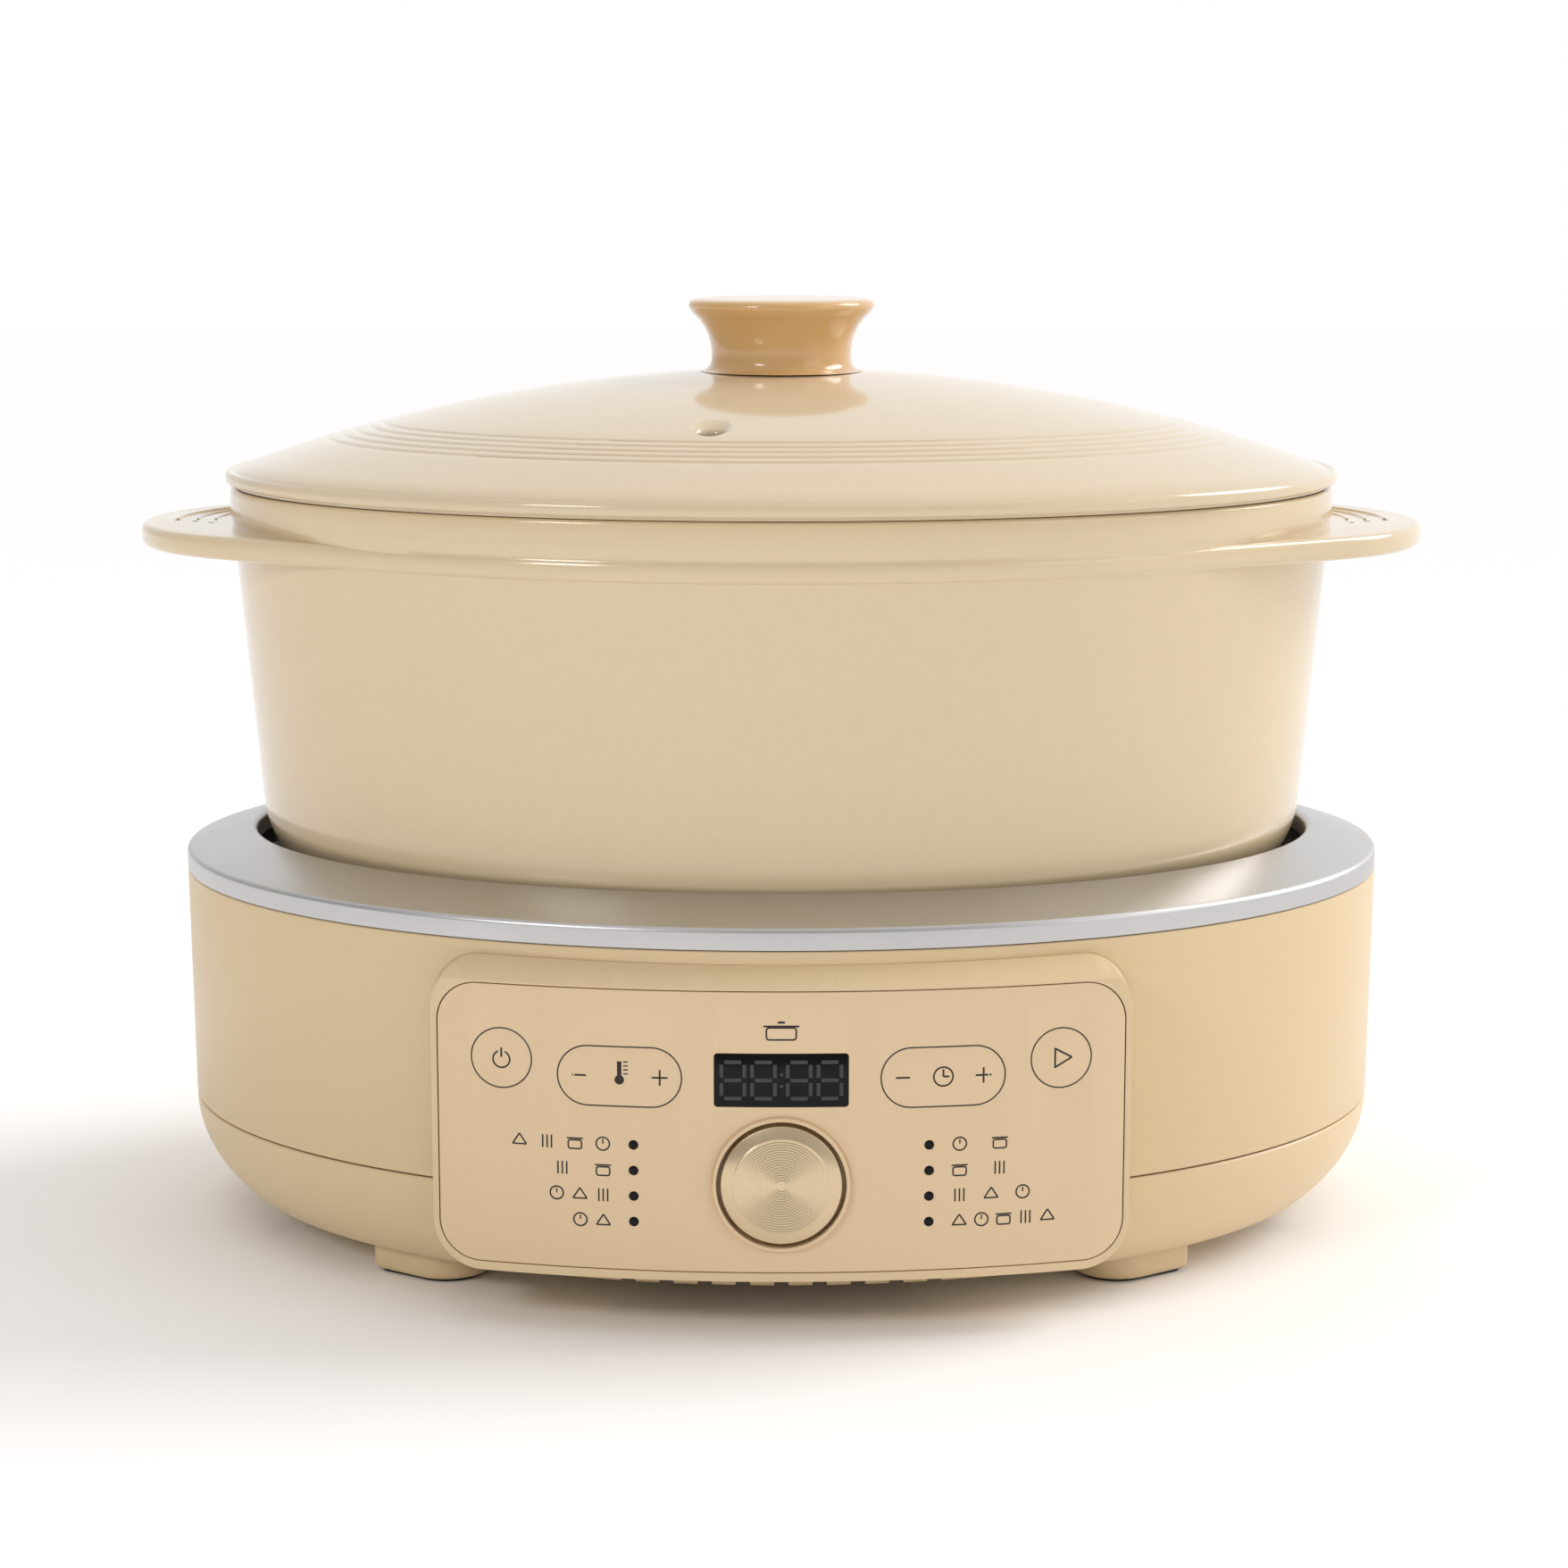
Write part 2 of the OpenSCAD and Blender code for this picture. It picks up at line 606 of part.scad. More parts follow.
module encoder_body() color(steel) difference() {
    union() {
        translate([-6, board_front - 6.8, dial_height - 6.5]) cube([12, 6.8, 13]);
        peg(0, dial_height, 3.6, board_front - 10.8, board_front - 6.8);
    }
    peg(0, dial_height, 3.04, board_front - 12, board_front - 2);
}

module encoder_shaft() color("#a8a8aa") peg(0, dial_height, 3, -panel_front + 1.6, board_front - 3);

module dial_core() color(black) difference() {
    peg(0, dial_height, 7, -panel_front + 0.4, board_front - 11.4);
    peg(0, dial_height, 3, -panel_front + 1.6, board_front - 10);
}

// A shallow spun cup with a flat face, a sloping rim and a short skirt
module dial_cap() color("#d6bd98") translate([0, -panel_front, dial_height]) rotate([90, 0, 0]) difference() {
    rotate_extrude($fn = fine) polygon(concat(
        [[0, -3.2], [dial_radius, -3.2]],
        arc(dial_radius - 0.5, 0.6, 0.5, 0, 70, 3),
        [[13.2, dial_proud - 0.15], [13, dial_proud], [0, dial_proud]]
    ));
    translate([0, 0, -4.2]) cylinder(r = dial_radius - 1.1, h = 3.8, $fn = fine);
}

module board_screws() color(steel) at_board_posts() {
    peg(0, 0, 2.6, board_front + board_thickness, board_front + board_thickness + 1.6);
    peg(0, 0, 1.05, board_front - 4, board_front + board_thickness + 0.5);
}

module pod_screws() color(steel) at_pod_screws() {
    peg(0, 0, 2.8, -106.4, -104.6);
    peg(0, 0, 1.15, -111.5, -106);
}

module round_key_body(x) color(beige) {
    intersection() {
        curved_slab(0, 3.3);
        peg(x, key_height, round_key, -150, -100);
    }
    intersection() {
        curved_slab(2.9, 3.8);
        peg(x, key_height, round_key + 1.3, -150, -100);
    }
}

module power_key() round_key_body(-key_x);

module start_key() round_key_body(key_x);

module rocker_key(x) color(beige) {
    intersection() {
        curved_slab(0, 4.4);
        across(-150, -100) translate([x, rocker_height]) pill(rocker_size[0], rocker_size[1]);
    }
    intersection() {
        curved_slab(3.4, 4.4);
        across(-150, -100) translate([x, rocker_height]) pill(rocker_size[0], rocker_size[1], 1);
    }
    for (s = [-rocker_switch, rocker_switch])
        peg(x + s, rocker_height, 1.5, panel_y(x) + 2, board_front - switch_height - plunger - 0.6);
    translate([x, panel_y(rocker_x) + 3.9, rocker_height - 12]) cylinder(r = 1, h = 24, $fn = 24);
}

module temp_key() rocker_key(-rocker_x);

module time_key() rocker_key(rocker_x);

module power_board() color(green) difference() {
    translate(power_board_low) cube(power_board_size);
    at_power_posts(0) cylinder(r = 1.6, h = 40, $fn = 24);
}

module power_board_screws() color(steel) at_power_posts(board_top) {
    cylinder(r = 2.6, h = 1.8, $fn = 32);
    translate([0, 0, -7]) cylinder(r = 1.15, h = 7.5, $fn = 24);
}

module relay() color("#2b4f86") translate([-38, 40, board_top]) cube([19, 15.5, 15.8]);

module transformer() color("#c8a443") {
    translate([2, 42, board_top]) cube([30, 24, 5]);
    translate([6, 44, board_top + 5]) cube([22, 20, 14]);
    translate([2, 42, board_top + 19]) cube([30, 24, 4]);
}

module filter_capacitor() color("#3a6fa6") translate([-14, 60, board_top]) cube([9, 18, 15]);

module terminal_block() color("#3b7d4f") difference() {
    translate([8, 74, board_top]) cube([31, 10, 11]);
    for (x = [12.5, 20, 27.5, 34.5]) translate([x, 79, board_top + 4]) cylinder(r = 2, h = 10, $fn = 24);
    for (x = [12.5, 20, 27.5, 34.5]) translate([x, 90, board_top + 4]) rotate([90, 0, 0])
        cylinder(r = 1.6, h = 10, $fn = 24);
}

module mains_fuse() color("#d8dde2") {
    translate([-42, 66, board_top + 4.6]) rotate([0, 90, 0]) cylinder(r = 2.6, h = 20, $fn = 32);
    for (x = [-43, -26]) translate([x, 63.6, board_top]) cube([4, 4.8, 4]);
}

module inlet_housing() color(black) difference() {
    union() {
        across(inlet_back, base_b + 0.2) translate([0, inlet_height]) square([28, 20.5], center = true);
        across(base_b - 0.9, base_b + inlet_proud) translate([0, inlet_height - 12.5])
            rounded_box(47, 0, 25, 4);
    }
    across(base_b + inlet_proud - inlet_socket[2], base_b + 10) translate([0, inlet_height]) polygon([
        [-12, -8.2], [12, -8.2], [12, 3.6], [7.5, 8.2], [-7.5, 8.2], [-12, 3.6]
    ]);
    intersection() {
        oval_disc(base_a + 0.02, base_b + 0.02, inlet_height - 20, inlet_height + 20);
        across(base_b - 5, base_b + 2) difference() {
            translate([0, inlet_height]) square([60, 40], center = true);
            translate([0, inlet_height]) square([28, 20.5], center = true);
        }
    }
    for (x = [-19, 19]) peg(x, inlet_height, 1.7, base_b - 12, base_b + 10);
    for (x = [-7, 0, 7]) across(inlet_back - 1, inlet_back + 12)
        translate([x - 1.05, inlet_height - (x == 0 ? -1 : 3)]) square([2.1, 4.1]);
}

module inlet_pins() color("#c8c3b0") for (x = [-7, 0, 7]) across(inlet_back - 8, base_b + inlet_proud - 3.5)
    translate([x - 1, inlet_height - (x == 0 ? -1.05 : 2.95)]) square([2, 4]);

module inlet_screws() color(steel) for (x = [-19, 19]) {
    peg(x, inlet_height, 2.8, base_b + inlet_proud, base_b + inlet_proud + screw_head);
    peg(x, inlet_height, 1.45, base_b - 7, base_b + inlet_proud + 0.5);
}

module mains_leads() color("#7a4a2a") for (x = [-7, 7]) let (end = x < 0 ? 20 : 27.5)
    lead([[x, inlet_back - 9, inlet_height - 1], [x, 102, inlet_height - 4], [x + 11, 104, 48],
        [x + 21, 102, 38], [end, 96, 30], [end, 88, board_top + 4.6], [end, 84.2, board_top + 4]], 1.3);

module heater_leads() color("#e6e2da") {
    lead([[-terminal_x, element_round, plate_bottom - 18.5], [-terminal_x, 49, 56], [-8, 66, 46],
        [4, 82, 42], [12.5, 90, 33], [12.5, 88, board_top + 4.6], [12.5, 84.2, board_top + 4]], 1.2);
    lead([[terminal_x, element_round, plate_bottom - 18.5], [terminal_x, 49, 56], [24, 62, 47], [40, 88, 44],
        [34.5, 92, 34], [34.5, 88, board_top + 4.6], [34.5, 84.2, board_top + 4]], 1.2);
}

module earth_lead() color("#5a8a3a")
    lead([[0, inlet_back - 9, inlet_height + 3], [-6, 100, inlet_height + 4], [-40, 96, 66],
        [-90, 75, 70], [-120, 44, 76], [-129, 18, 86], [-130, 14, well_floor - 0.1]], 1.2);

module sensor_leads() color("#d0d0d4") for (s = [-1.2, 1.2])
    lead([[s, 0, plate_bottom - 9.4], [s, 0, plate_bottom - 20], [s - 8, 12, 48], [s - 16, 34, 40],
        [s - 4, 36, 30], [s - 4, 36, board_top + 0.1]], 0.6);

module ribbon_cable() color("#c9cbd0")
    sweep([[38, board_front + board_thickness + 0.1, 40], [38, -121, 40], [38, -117, 34], [38, -96, 24],
        [38, -40, 22], [38, 20, 22], [38, 36, 26], [38, 46, 30], [38, 52, board_top + 4],
        [38, 52, board_top + 0.1]], [[-5, -0.4], [5, -0.4], [5, 0.4], [-5, 0.4]], [1, 0, 0]);

module cover_screws() color(steel) for (t = screw_angles)
    translate(concat(screw_place(t), screw_base - 2.4)) {
        cylinder(r = 3.6, h = 2.4, $fn = 32);
        translate([0, 0, 2]) cylinder(r = 1.45, h = parting_height - screw_base + 18, $fn = 24);
    }

module ring_screws() color(steel) for (t = ring_screw_angles)
    translate(concat(ring_screw_place(t), seam_height - wall - 2)) {
        cylinder(r = 2.8, h = 1.9, $fn = 32);
        translate([0, 0, 1]) cylinder(r = 1.45, h = 5, $fn = 24);
    }

module foot_pads() color(black) four_feet(2.5, 0, 2);

module pot_outside() oval_turn(pot_rim, pot_b, concat(
    [[0, pot_floor]],
    arc(pot_a(pot_floor + pot_corner) - pot_corner, pot_floor + pot_corner, pot_corner, -90, -5, 8),
    [[pot_a(rim_height - 10), rim_height - 10], [pot_rim, rim_height - 8.2]],
    arc(pot_rim - 1.4, rim_height - 1.4, 1.4, 0, 90, 4),
    [[0, rim_height]]
));

module pot_inside() oval_turn(pot_rim - pot_wall, pot_b - pot_wall, concat(
    [[0, pot_floor + 4]],
    arc(pot_a(pot_floor + pot_corner) - pot_corner - 0.4, pot_floor + pot_corner, pot_corner - 4, -90, -5, 8),
    [[pot_rim - pot_wall, rim_height - 9], [pot_rim - pot_wall, rim_height + 1], [0, rim_height + 1]]
));

module handle_plate() translate([0, 0, handle_high - handle_thickness]) {
    side_end = [pow(pot_rim, 2) * tangent_cos / tangent_reach, pow(pot_b, 2) * tangent_sin / tangent_reach];
    round_end = [handle_centre + handle_round * tangent_cos, handle_round * tangent_sin];
    translate([handle_centre, 0, 0]) cylinder(r = handle_round, h = handle_thickness, $fn = 120);
    linear_extrude(handle_thickness) polygon([
        round_end, side_end, [90, 0], [side_end[0], -side_end[1]], [round_end[0], -round_end[1]]
    ]);
}

module pot() color("#d3bc9a") difference() {
    union() {
        pot_outside();
        handle_plate();
        mirror([1, 0, 0]) handle_plate();
    }
    pot_inside();
}

// The dome's height at a distance along its length, for a surface below the outside by some depth
function dome(r, depth = 0) = dome_top - dome_radius + sqrt(pow(dome_radius - depth, 2) - r * r);

module lid_dome() color("#d6c2a3") difference() {
    oval_turn(lid_half, lid_depth, concat(
        [[0, rim_height - 6], [lid_skirt, rim_height - 6], [lid_skirt, rim_height + 0.3]],
        [[lid_half - 3, rim_height + 0.3], [lid_half - 3, lip_low], [lid_half - 0.6, lip_low]],
        arc(lid_half - 2, dome(lid_half - 2) - 2, 2, 0, 70, 4),
        [for (i = [0 : 4]) let (r = 158 - i * 5) [r, dome(r)]],
        [for (i = [4 : -1 : 0]) let (r = groove_first + i * groove_pitch)
            each [[r + 0.9, dome(r + 0.9)], [r, dome(r) - 0.35], [r - 0.9, dome(r - 0.9)]]],
        [for (i = [0 : 9]) let (r = 112 * (1 - i / 9)) [r, dome(r)]]
    ), 4);
    oval_turn(lid_skirt - 2.7, lid_depth - 9, concat(
        [[0, rim_height - 8], [lid_skirt - 2.7, rim_height - 8]],
        [for (i = [0 : 10]) let (r = (lid_skirt - 2.7) * (1 - i / 10)) [r, dome(r, lid_wall)]]
    ), 4);
    translate(concat(vent_place, rim_height)) cylinder(r = 4.7, h = 30, $fn = round_fn);
    translate([0, 0, rim_height]) cylinder(r = 3.3, h = 50, $fn = 32);
}

module lid_knob() color("#c99c5f") difference() {
    rotate_extrude($fn = fine) polygon(concat(
        [[0, dome_top - 3], [3.2, dome_top - 3], [3.2, dome_top + 0.1], [20, dome(20) + 0.1]],
        [[24.6, dome(24.6) + 0.1]],
        arc(24.6, dome(24.6) + 3.6, 3.4, -90, -180, 4),
        arc(21.3 + 34, dome_top + 4.4, 34, 180, 157, 6),
        arc(knob_radius - 2, knob_top - 2.2, 2.2, -25, 90, 5),
        [[0, knob_top - 0.4]]
    ));
    translate([0, 0, dome_top - 5]) cylinder(r = 2.1, h = 16, $fn = 32);
}

module knob_screw() color(steel) translate([0, 0, dome_top - lid_wall - 0.2]) {
    translate([0, 0, -4.6]) cylinder(r = 5.5, h = 3, $fn = 32);
    translate([0, 0, -2]) cylinder(r = 2.05, h = 12, $fn = 32);
}

module knob_washer() color(steel) translate([0, 0, dome_top - lid_wall - 1.8]) difference() {
    cylinder(r = 9, h = 1.5, $fn = 32);
    translate([0, 0, -1]) cylinder(r = 2.3, h = 4, $fn = 32);
}

module in_frame() translate([0, shift_y, 0]) children();

in_frame() mid_shell();
in_frame() bottom_cover();
in_frame() cover_feet();
in_frame() deck_ring();
in_frame() deck_seal();
in_frame() heating_well();
in_frame() heating_plate();
in_frame() heating_element();
in_frame() heat_shield();
in_frame() plate_posts();
in_frame() plate_screws();
in_frame() sensor_guide();
in_frame() sensor_spring();
in_frame() sensor_cap();
in_frame() thermal_fuse();
in_frame() fuse_clip();
in_frame() control_pod();
in_frame() panel_face();
in_frame() dial_bezel();
in_frame() display_window();
in_frame() display_module();
in_frame() lamp_lenses();
in_frame() lamp_leds();
in_frame() control_board();
in_frame() tact_switches();
in_frame() encoder_body();
in_frame() board_screws();
in_frame() pod_screws();
in_frame() power_key();
in_frame() start_key();
in_frame() temp_key();
in_frame() time_key();
in_frame() dial_cap();
in_frame() dial_core();
in_frame() encoder_shaft();
in_frame() power_board();
in_frame() power_board_screws();
in_frame() relay();
in_frame() transformer();
in_frame() filter_capacitor();
in_frame() terminal_block();
in_frame() mains_fuse();
in_frame() inlet_housing();
in_frame() inlet_pins();
in_frame() inlet_screws();
in_frame() mains_leads();
in_frame() heater_leads();
in_frame() earth_lead();
in_frame() sensor_leads();
in_frame() ribbon_cable();
in_frame() cover_screws();
in_frame() ring_screws();
in_frame() foot_pads();
in_frame() pot();
in_frame() lid_dome();
in_frame() lid_knob();
in_frame() knob_screw();
in_frame() knob_washer();
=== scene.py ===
import json
from math import asin, atan2, cos, degrees, pi, radians, sin, sqrt

import bpy
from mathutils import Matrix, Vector


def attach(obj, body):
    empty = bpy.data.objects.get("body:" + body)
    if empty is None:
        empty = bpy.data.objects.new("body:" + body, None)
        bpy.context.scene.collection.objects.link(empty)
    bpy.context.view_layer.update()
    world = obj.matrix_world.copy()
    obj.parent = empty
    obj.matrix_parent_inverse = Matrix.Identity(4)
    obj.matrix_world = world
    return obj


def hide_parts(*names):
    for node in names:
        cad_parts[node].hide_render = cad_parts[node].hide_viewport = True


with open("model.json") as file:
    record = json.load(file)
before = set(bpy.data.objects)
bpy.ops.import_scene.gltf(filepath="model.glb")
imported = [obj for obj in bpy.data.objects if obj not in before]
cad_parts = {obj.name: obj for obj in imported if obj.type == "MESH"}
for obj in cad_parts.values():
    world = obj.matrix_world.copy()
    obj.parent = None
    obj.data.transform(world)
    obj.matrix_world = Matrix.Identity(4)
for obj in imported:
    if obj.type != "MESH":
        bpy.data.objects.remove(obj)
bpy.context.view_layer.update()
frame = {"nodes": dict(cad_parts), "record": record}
bpy.ops.object.select_all(action="DESELECT")

MM = 0.001
SHIFT = 3.5
RATIO_WALL = 137.5 / 180
POD_AXIS = 155 + SHIFT
PANEL = 300


# ---------- helpers: outlines and pieces, all sizes in millimetres ----------

def arc(x, z, r, start, end, steps=8):
    """Points on an arc, between two angles in degrees."""
    return [(x + r * cos(radians(start + (end - start) * i / steps)),
             z + r * sin(radians(start + (end - start) * i / steps))) for i in range(steps + 1)]


def keep(obj, name, body, slot, *nodes, angle=35):
    """Names a finished piece and says what it rides on, its finish and the CAD nodes it stands for."""
    obj.name = name
    obj.data.name = name
    select(obj)
    bpy.ops.object.transform_apply(location=True, rotation=True, scale=True)
    bpy.ops.object.shade_smooth_by_angle(angle=radians(angle))
    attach(obj, body)
    obj.data.materials.clear()
    obj.data.materials.append(MATERIALS[slot])
    if nodes:
        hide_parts(*nodes)
    return obj


def select(*objs):
    bpy.ops.object.select_all(action="DESELECT")
    for obj in objs:
        obj.select_set(True)
    bpy.context.view_layer.objects.active = objs[0]


def turned(outline, depth, centre=(0, 0), segments=192, closed=False):
    """A body with oval rings: outline is [half length, height], depth gives each ring's half depth."""
    rings = list(outline) + ([outline[0]] if closed else [])
    bpy.ops.mesh.primitive_circle_add(vertices=segments, radius=MM)
    obj = bpy.context.active_object
    bpy.ops.object.mode_set(mode="EDIT")
    bpy.ops.mesh.select_all(action="SELECT")
    a, z = rings[0]
    bpy.ops.transform.resize(value=(a, depth(a), 1))
    bpy.ops.transform.translate(value=(centre[0] * MM, centre[1] * MM, z * MM))
    middle = (centre[0] * MM, centre[1] * MM, 0)
    for (a0, z0), (a1, z1) in zip(rings, rings[1:]):
        bpy.ops.mesh.extrude_region_move(TRANSFORM_OT_translate={"value": (0, 0, (z1 - z0) * MM)})
        bpy.ops.transform.resize(value=(a1 / a0, depth(a1) / depth(a0), 1), center_override=middle)
    bpy.ops.mesh.select_all(action="SELECT")
    bpy.ops.mesh.remove_doubles(threshold=0.002 * MM)
    bpy.ops.mesh.normals_make_consistent(inside=False)
    bpy.ops.object.mode_set(mode="OBJECT")
    return obj


def even(ratio):
    return lambda a: a * ratio


def offset(step):
    return lambda a: a - step


def round_disc(a):
    return a


def upright(obj, x, z, y=0):
    """Turns a body made about the height axis so that its top faces the front."""
    select(obj)
    obj.rotation_euler = (pi / 2, 0, 0)
    obj.location = (x * MM, (SHIFT + y) * MM, z * MM)
    bpy.ops.object.transform_apply(location=True, rotation=True, scale=True)
    return obj


def plate(w, h, r, x, z, y0, y1, segments=10):
    """A rounded plate in the plane of the panel, between two depths."""
    bpy.ops.mesh.primitive_plane_add(size=1)
    obj = bpy.context.active_object
    obj.scale = (w * MM, h * MM, 1)
    obj.rotation_euler = (pi / 2, 0, 0)
    obj.location = (x * MM, (y0 + SHIFT) * MM, z * MM)
    bpy.ops.object.transform_apply(location=True, rotation=True, scale=True)
    bpy.ops.object.mode_set(mode="EDIT")
    bpy.ops.mesh.select_all(action="SELECT")
    if r > 0:
        bpy.ops.mesh.bevel(offset_type="OFFSET", offset=min(r, min(w, h) / 2 - 0.001) * MM,
                           segments=segments, affect="VERTICES")
    bpy.ops.mesh.extrude_region_move(TRANSFORM_OT_translate={"value": (0, (y1 - y0) * MM, 0)})
    bpy.ops.mesh.select_all(action="SELECT")
    bpy.ops.mesh.remove_doubles(threshold=0.002 * MM)
    bpy.ops.mesh.normals_make_consistent(inside=False)
    bpy.ops.object.mode_set(mode="OBJECT")
    return obj


def rod(r, x, z, y0, y1, segments=64):
    """A round bar that runs front to back."""
    bpy.ops.mesh.primitive_cylinder_add(vertices=segments, radius=r * MM, depth=(y1 - y0) * MM)
    obj = bpy.context.active_object
    obj.rotation_euler = (pi / 2, 0, 0)
    obj.location = (x * MM, ((y0 + y1) / 2 + SHIFT) * MM, z * MM)
    bpy.ops.object.transform_apply(location=True, rotation=True, scale=True)
    return obj


def block(x0, x1, y0, y1, z0, z1, turn=0):
    """A box between two corners, turned in the panel's plane about its middle."""
    bpy.ops.mesh.primitive_cube_add(size=1)
    obj = bpy.context.active_object
    obj.scale = ((x1 - x0) * MM, (y1 - y0) * MM, (z1 - z0) * MM)
    bpy.ops.object.transform_apply(scale=True)
    obj.rotation_euler = (0, radians(turn), 0)
    obj.location = ((x0 + x1) / 2 * MM, ((y0 + y1) / 2 + SHIFT) * MM, (z0 + z1) / 2 * MM)
    bpy.ops.object.transform_apply(location=True, rotation=True)
    return obj


def post(r, x, y, z0, z1, segments=32):
    bpy.ops.mesh.primitive_cylinder_add(vertices=segments, radius=r * MM, depth=(z1 - z0) * MM)
    obj = bpy.context.active_object
    obj.location = (x * MM, (y + SHIFT) * MM, (z0 + z1) / 2 * MM)
    bpy.ops.object.transform_apply(location=True)
    return obj


def join(objs):
    select(*objs)
    if len(objs) > 1:
        bpy.ops.object.join()
    return bpy.context.active_object


def combine(obj, other, operation, overlaps=False):
    """Cuts, joins or intersects one body with another, which is used up."""
    select(obj)
    mod = obj.modifiers.new("cut", "BOOLEAN")
    mod.operation = operation
    mod.solver = "EXACT"
    mod.use_self = overlaps
    mod.object = other
    bpy.ops.object.modifier_apply(modifier=mod.name)
    bpy.data.objects.remove(other)
    return obj


def cut(obj, *tools):
    return combine(obj, join(list(tools)), "DIFFERENCE")


def soften(obj, width, segments=3, angle=50):
    """Rounds every edge that is sharper than an angle."""
    select(obj)
    mod = obj.modifiers.new("round", "BEVEL")
    mod.width = width * MM
    mod.segments = segments
    mod.limit_method = "ANGLE"
    mod.angle_limit = radians(angle)
    mod.harden_normals = False
    mod.use_clamp_overlap = True
    bpy.ops.object.modifier_apply(modifier=mod.name)
    return obj


def curved_slab(d0, d1, z0=8, z1=112):
    """The space between two depths behind the panel's curved front."""
    outer, inner = PANEL - d0, PANEL - d1
    return turned([(outer, z0), (outer, z1), (inner, z1), (inner, z0)], round_disc, (0, POD_AXIS), 540, True)


def on_panel(obj, d0, d1, overlaps=False):
    """Trims a body to the space between two depths behind the panel's front."""
    return combine(obj, curved_slab(d0, d1), "INTERSECT", overlaps)


def panel_y(x):
    return 155 - sqrt(PANEL * PANEL - x * x)


# ---------- helpers: materials ----------

def linear(hex_colour):
    """A screen colour as scene values."""
    parts = [int(hex_colour[i:i + 2], 16) / 255 for i in (1, 3, 5)]
    return [p / 12.92 if p <= 0.04045 else ((p + 0.055) / 1.055) ** 2.4 for p in parts] + [1]


def add_node(tree, kind, inputs=(), **settings):
    """Adds a shader node, sets its options, and links or sets its inputs."""
    node = tree.nodes.new(kind)
    for key, value in settings.items():
        setattr(node, key, value)
    for key, value in dict(inputs).items():
        if isinstance(value, bpy.types.NodeSocket):
            tree.links.new(value, node.inputs[key])
        else:
            node.inputs[key].default_value = value
    return node


def finish(name, colour, rough, metal=0.0, grain=900, bump=0.03, vary=0.05, coat=0.0, spread=0.03,
           stretch=(1, 1, 1), depth=0.0001, shine=0.5, anisotropic=0.0):
    """A finish with a fine grain in its relief, slow changes in gloss and a faint change of colour."""
    mat = bpy.data.materials.new(name)
    mat.use_nodes = True
    tree = mat.node_tree
    tree.nodes.clear()
    place = add_node(tree, "ShaderNodeTexCoord")
    spun = add_node(tree, "ShaderNodeMapping", {"Vector": place.outputs["Object"], "Scale": stretch})
    fine = add_node(tree, "ShaderNodeTexNoise", {"Vector": spun.outputs[0], "Scale": grain, "Detail": 4.0,
                                                 "Roughness": 0.6})
    slow = add_node(tree, "ShaderNodeTexNoise", {"Vector": place.outputs["Object"], "Scale": 22.0,
                                                 "Detail": 3.0})
    gloss = add_node(tree, "ShaderNodeMapRange", {"Value": slow.outputs[0], "From Min": 0.3, "From Max": 0.7,
                                                  "To Min": max(rough - vary, 0.02), "To Max": rough + vary})
    tone = add_node(tree, "ShaderNodeMapRange", {"Value": fine.outputs[0], "From Min": 0.3, "From Max": 0.7,
                                                 "To Min": 1 - spread, "To Max": 1 + spread})
    shade = add_node(tree, "ShaderNodeHueSaturation", {"Color": linear(colour), "Value": tone.outputs[0]})
    relief = add_node(tree, "ShaderNodeBump", {"Strength": bump, "Distance": depth, "Height": fine.outputs[0]})
    inputs = {"Base Color": shade.outputs[0], "Roughness": gloss.outputs[0], "Metallic": metal,
              "Normal": relief.outputs[0], "Coat Weight": coat, "Coat Roughness": 0.06,
              "Anisotropic": anisotropic, "Specular IOR Level": shine}
    surface = add_node(tree, "ShaderNodeBsdfPrincipled", inputs)
    add_node(tree, "ShaderNodeOutputMaterial", {"Surface": surface.outputs[0]})
    return mat


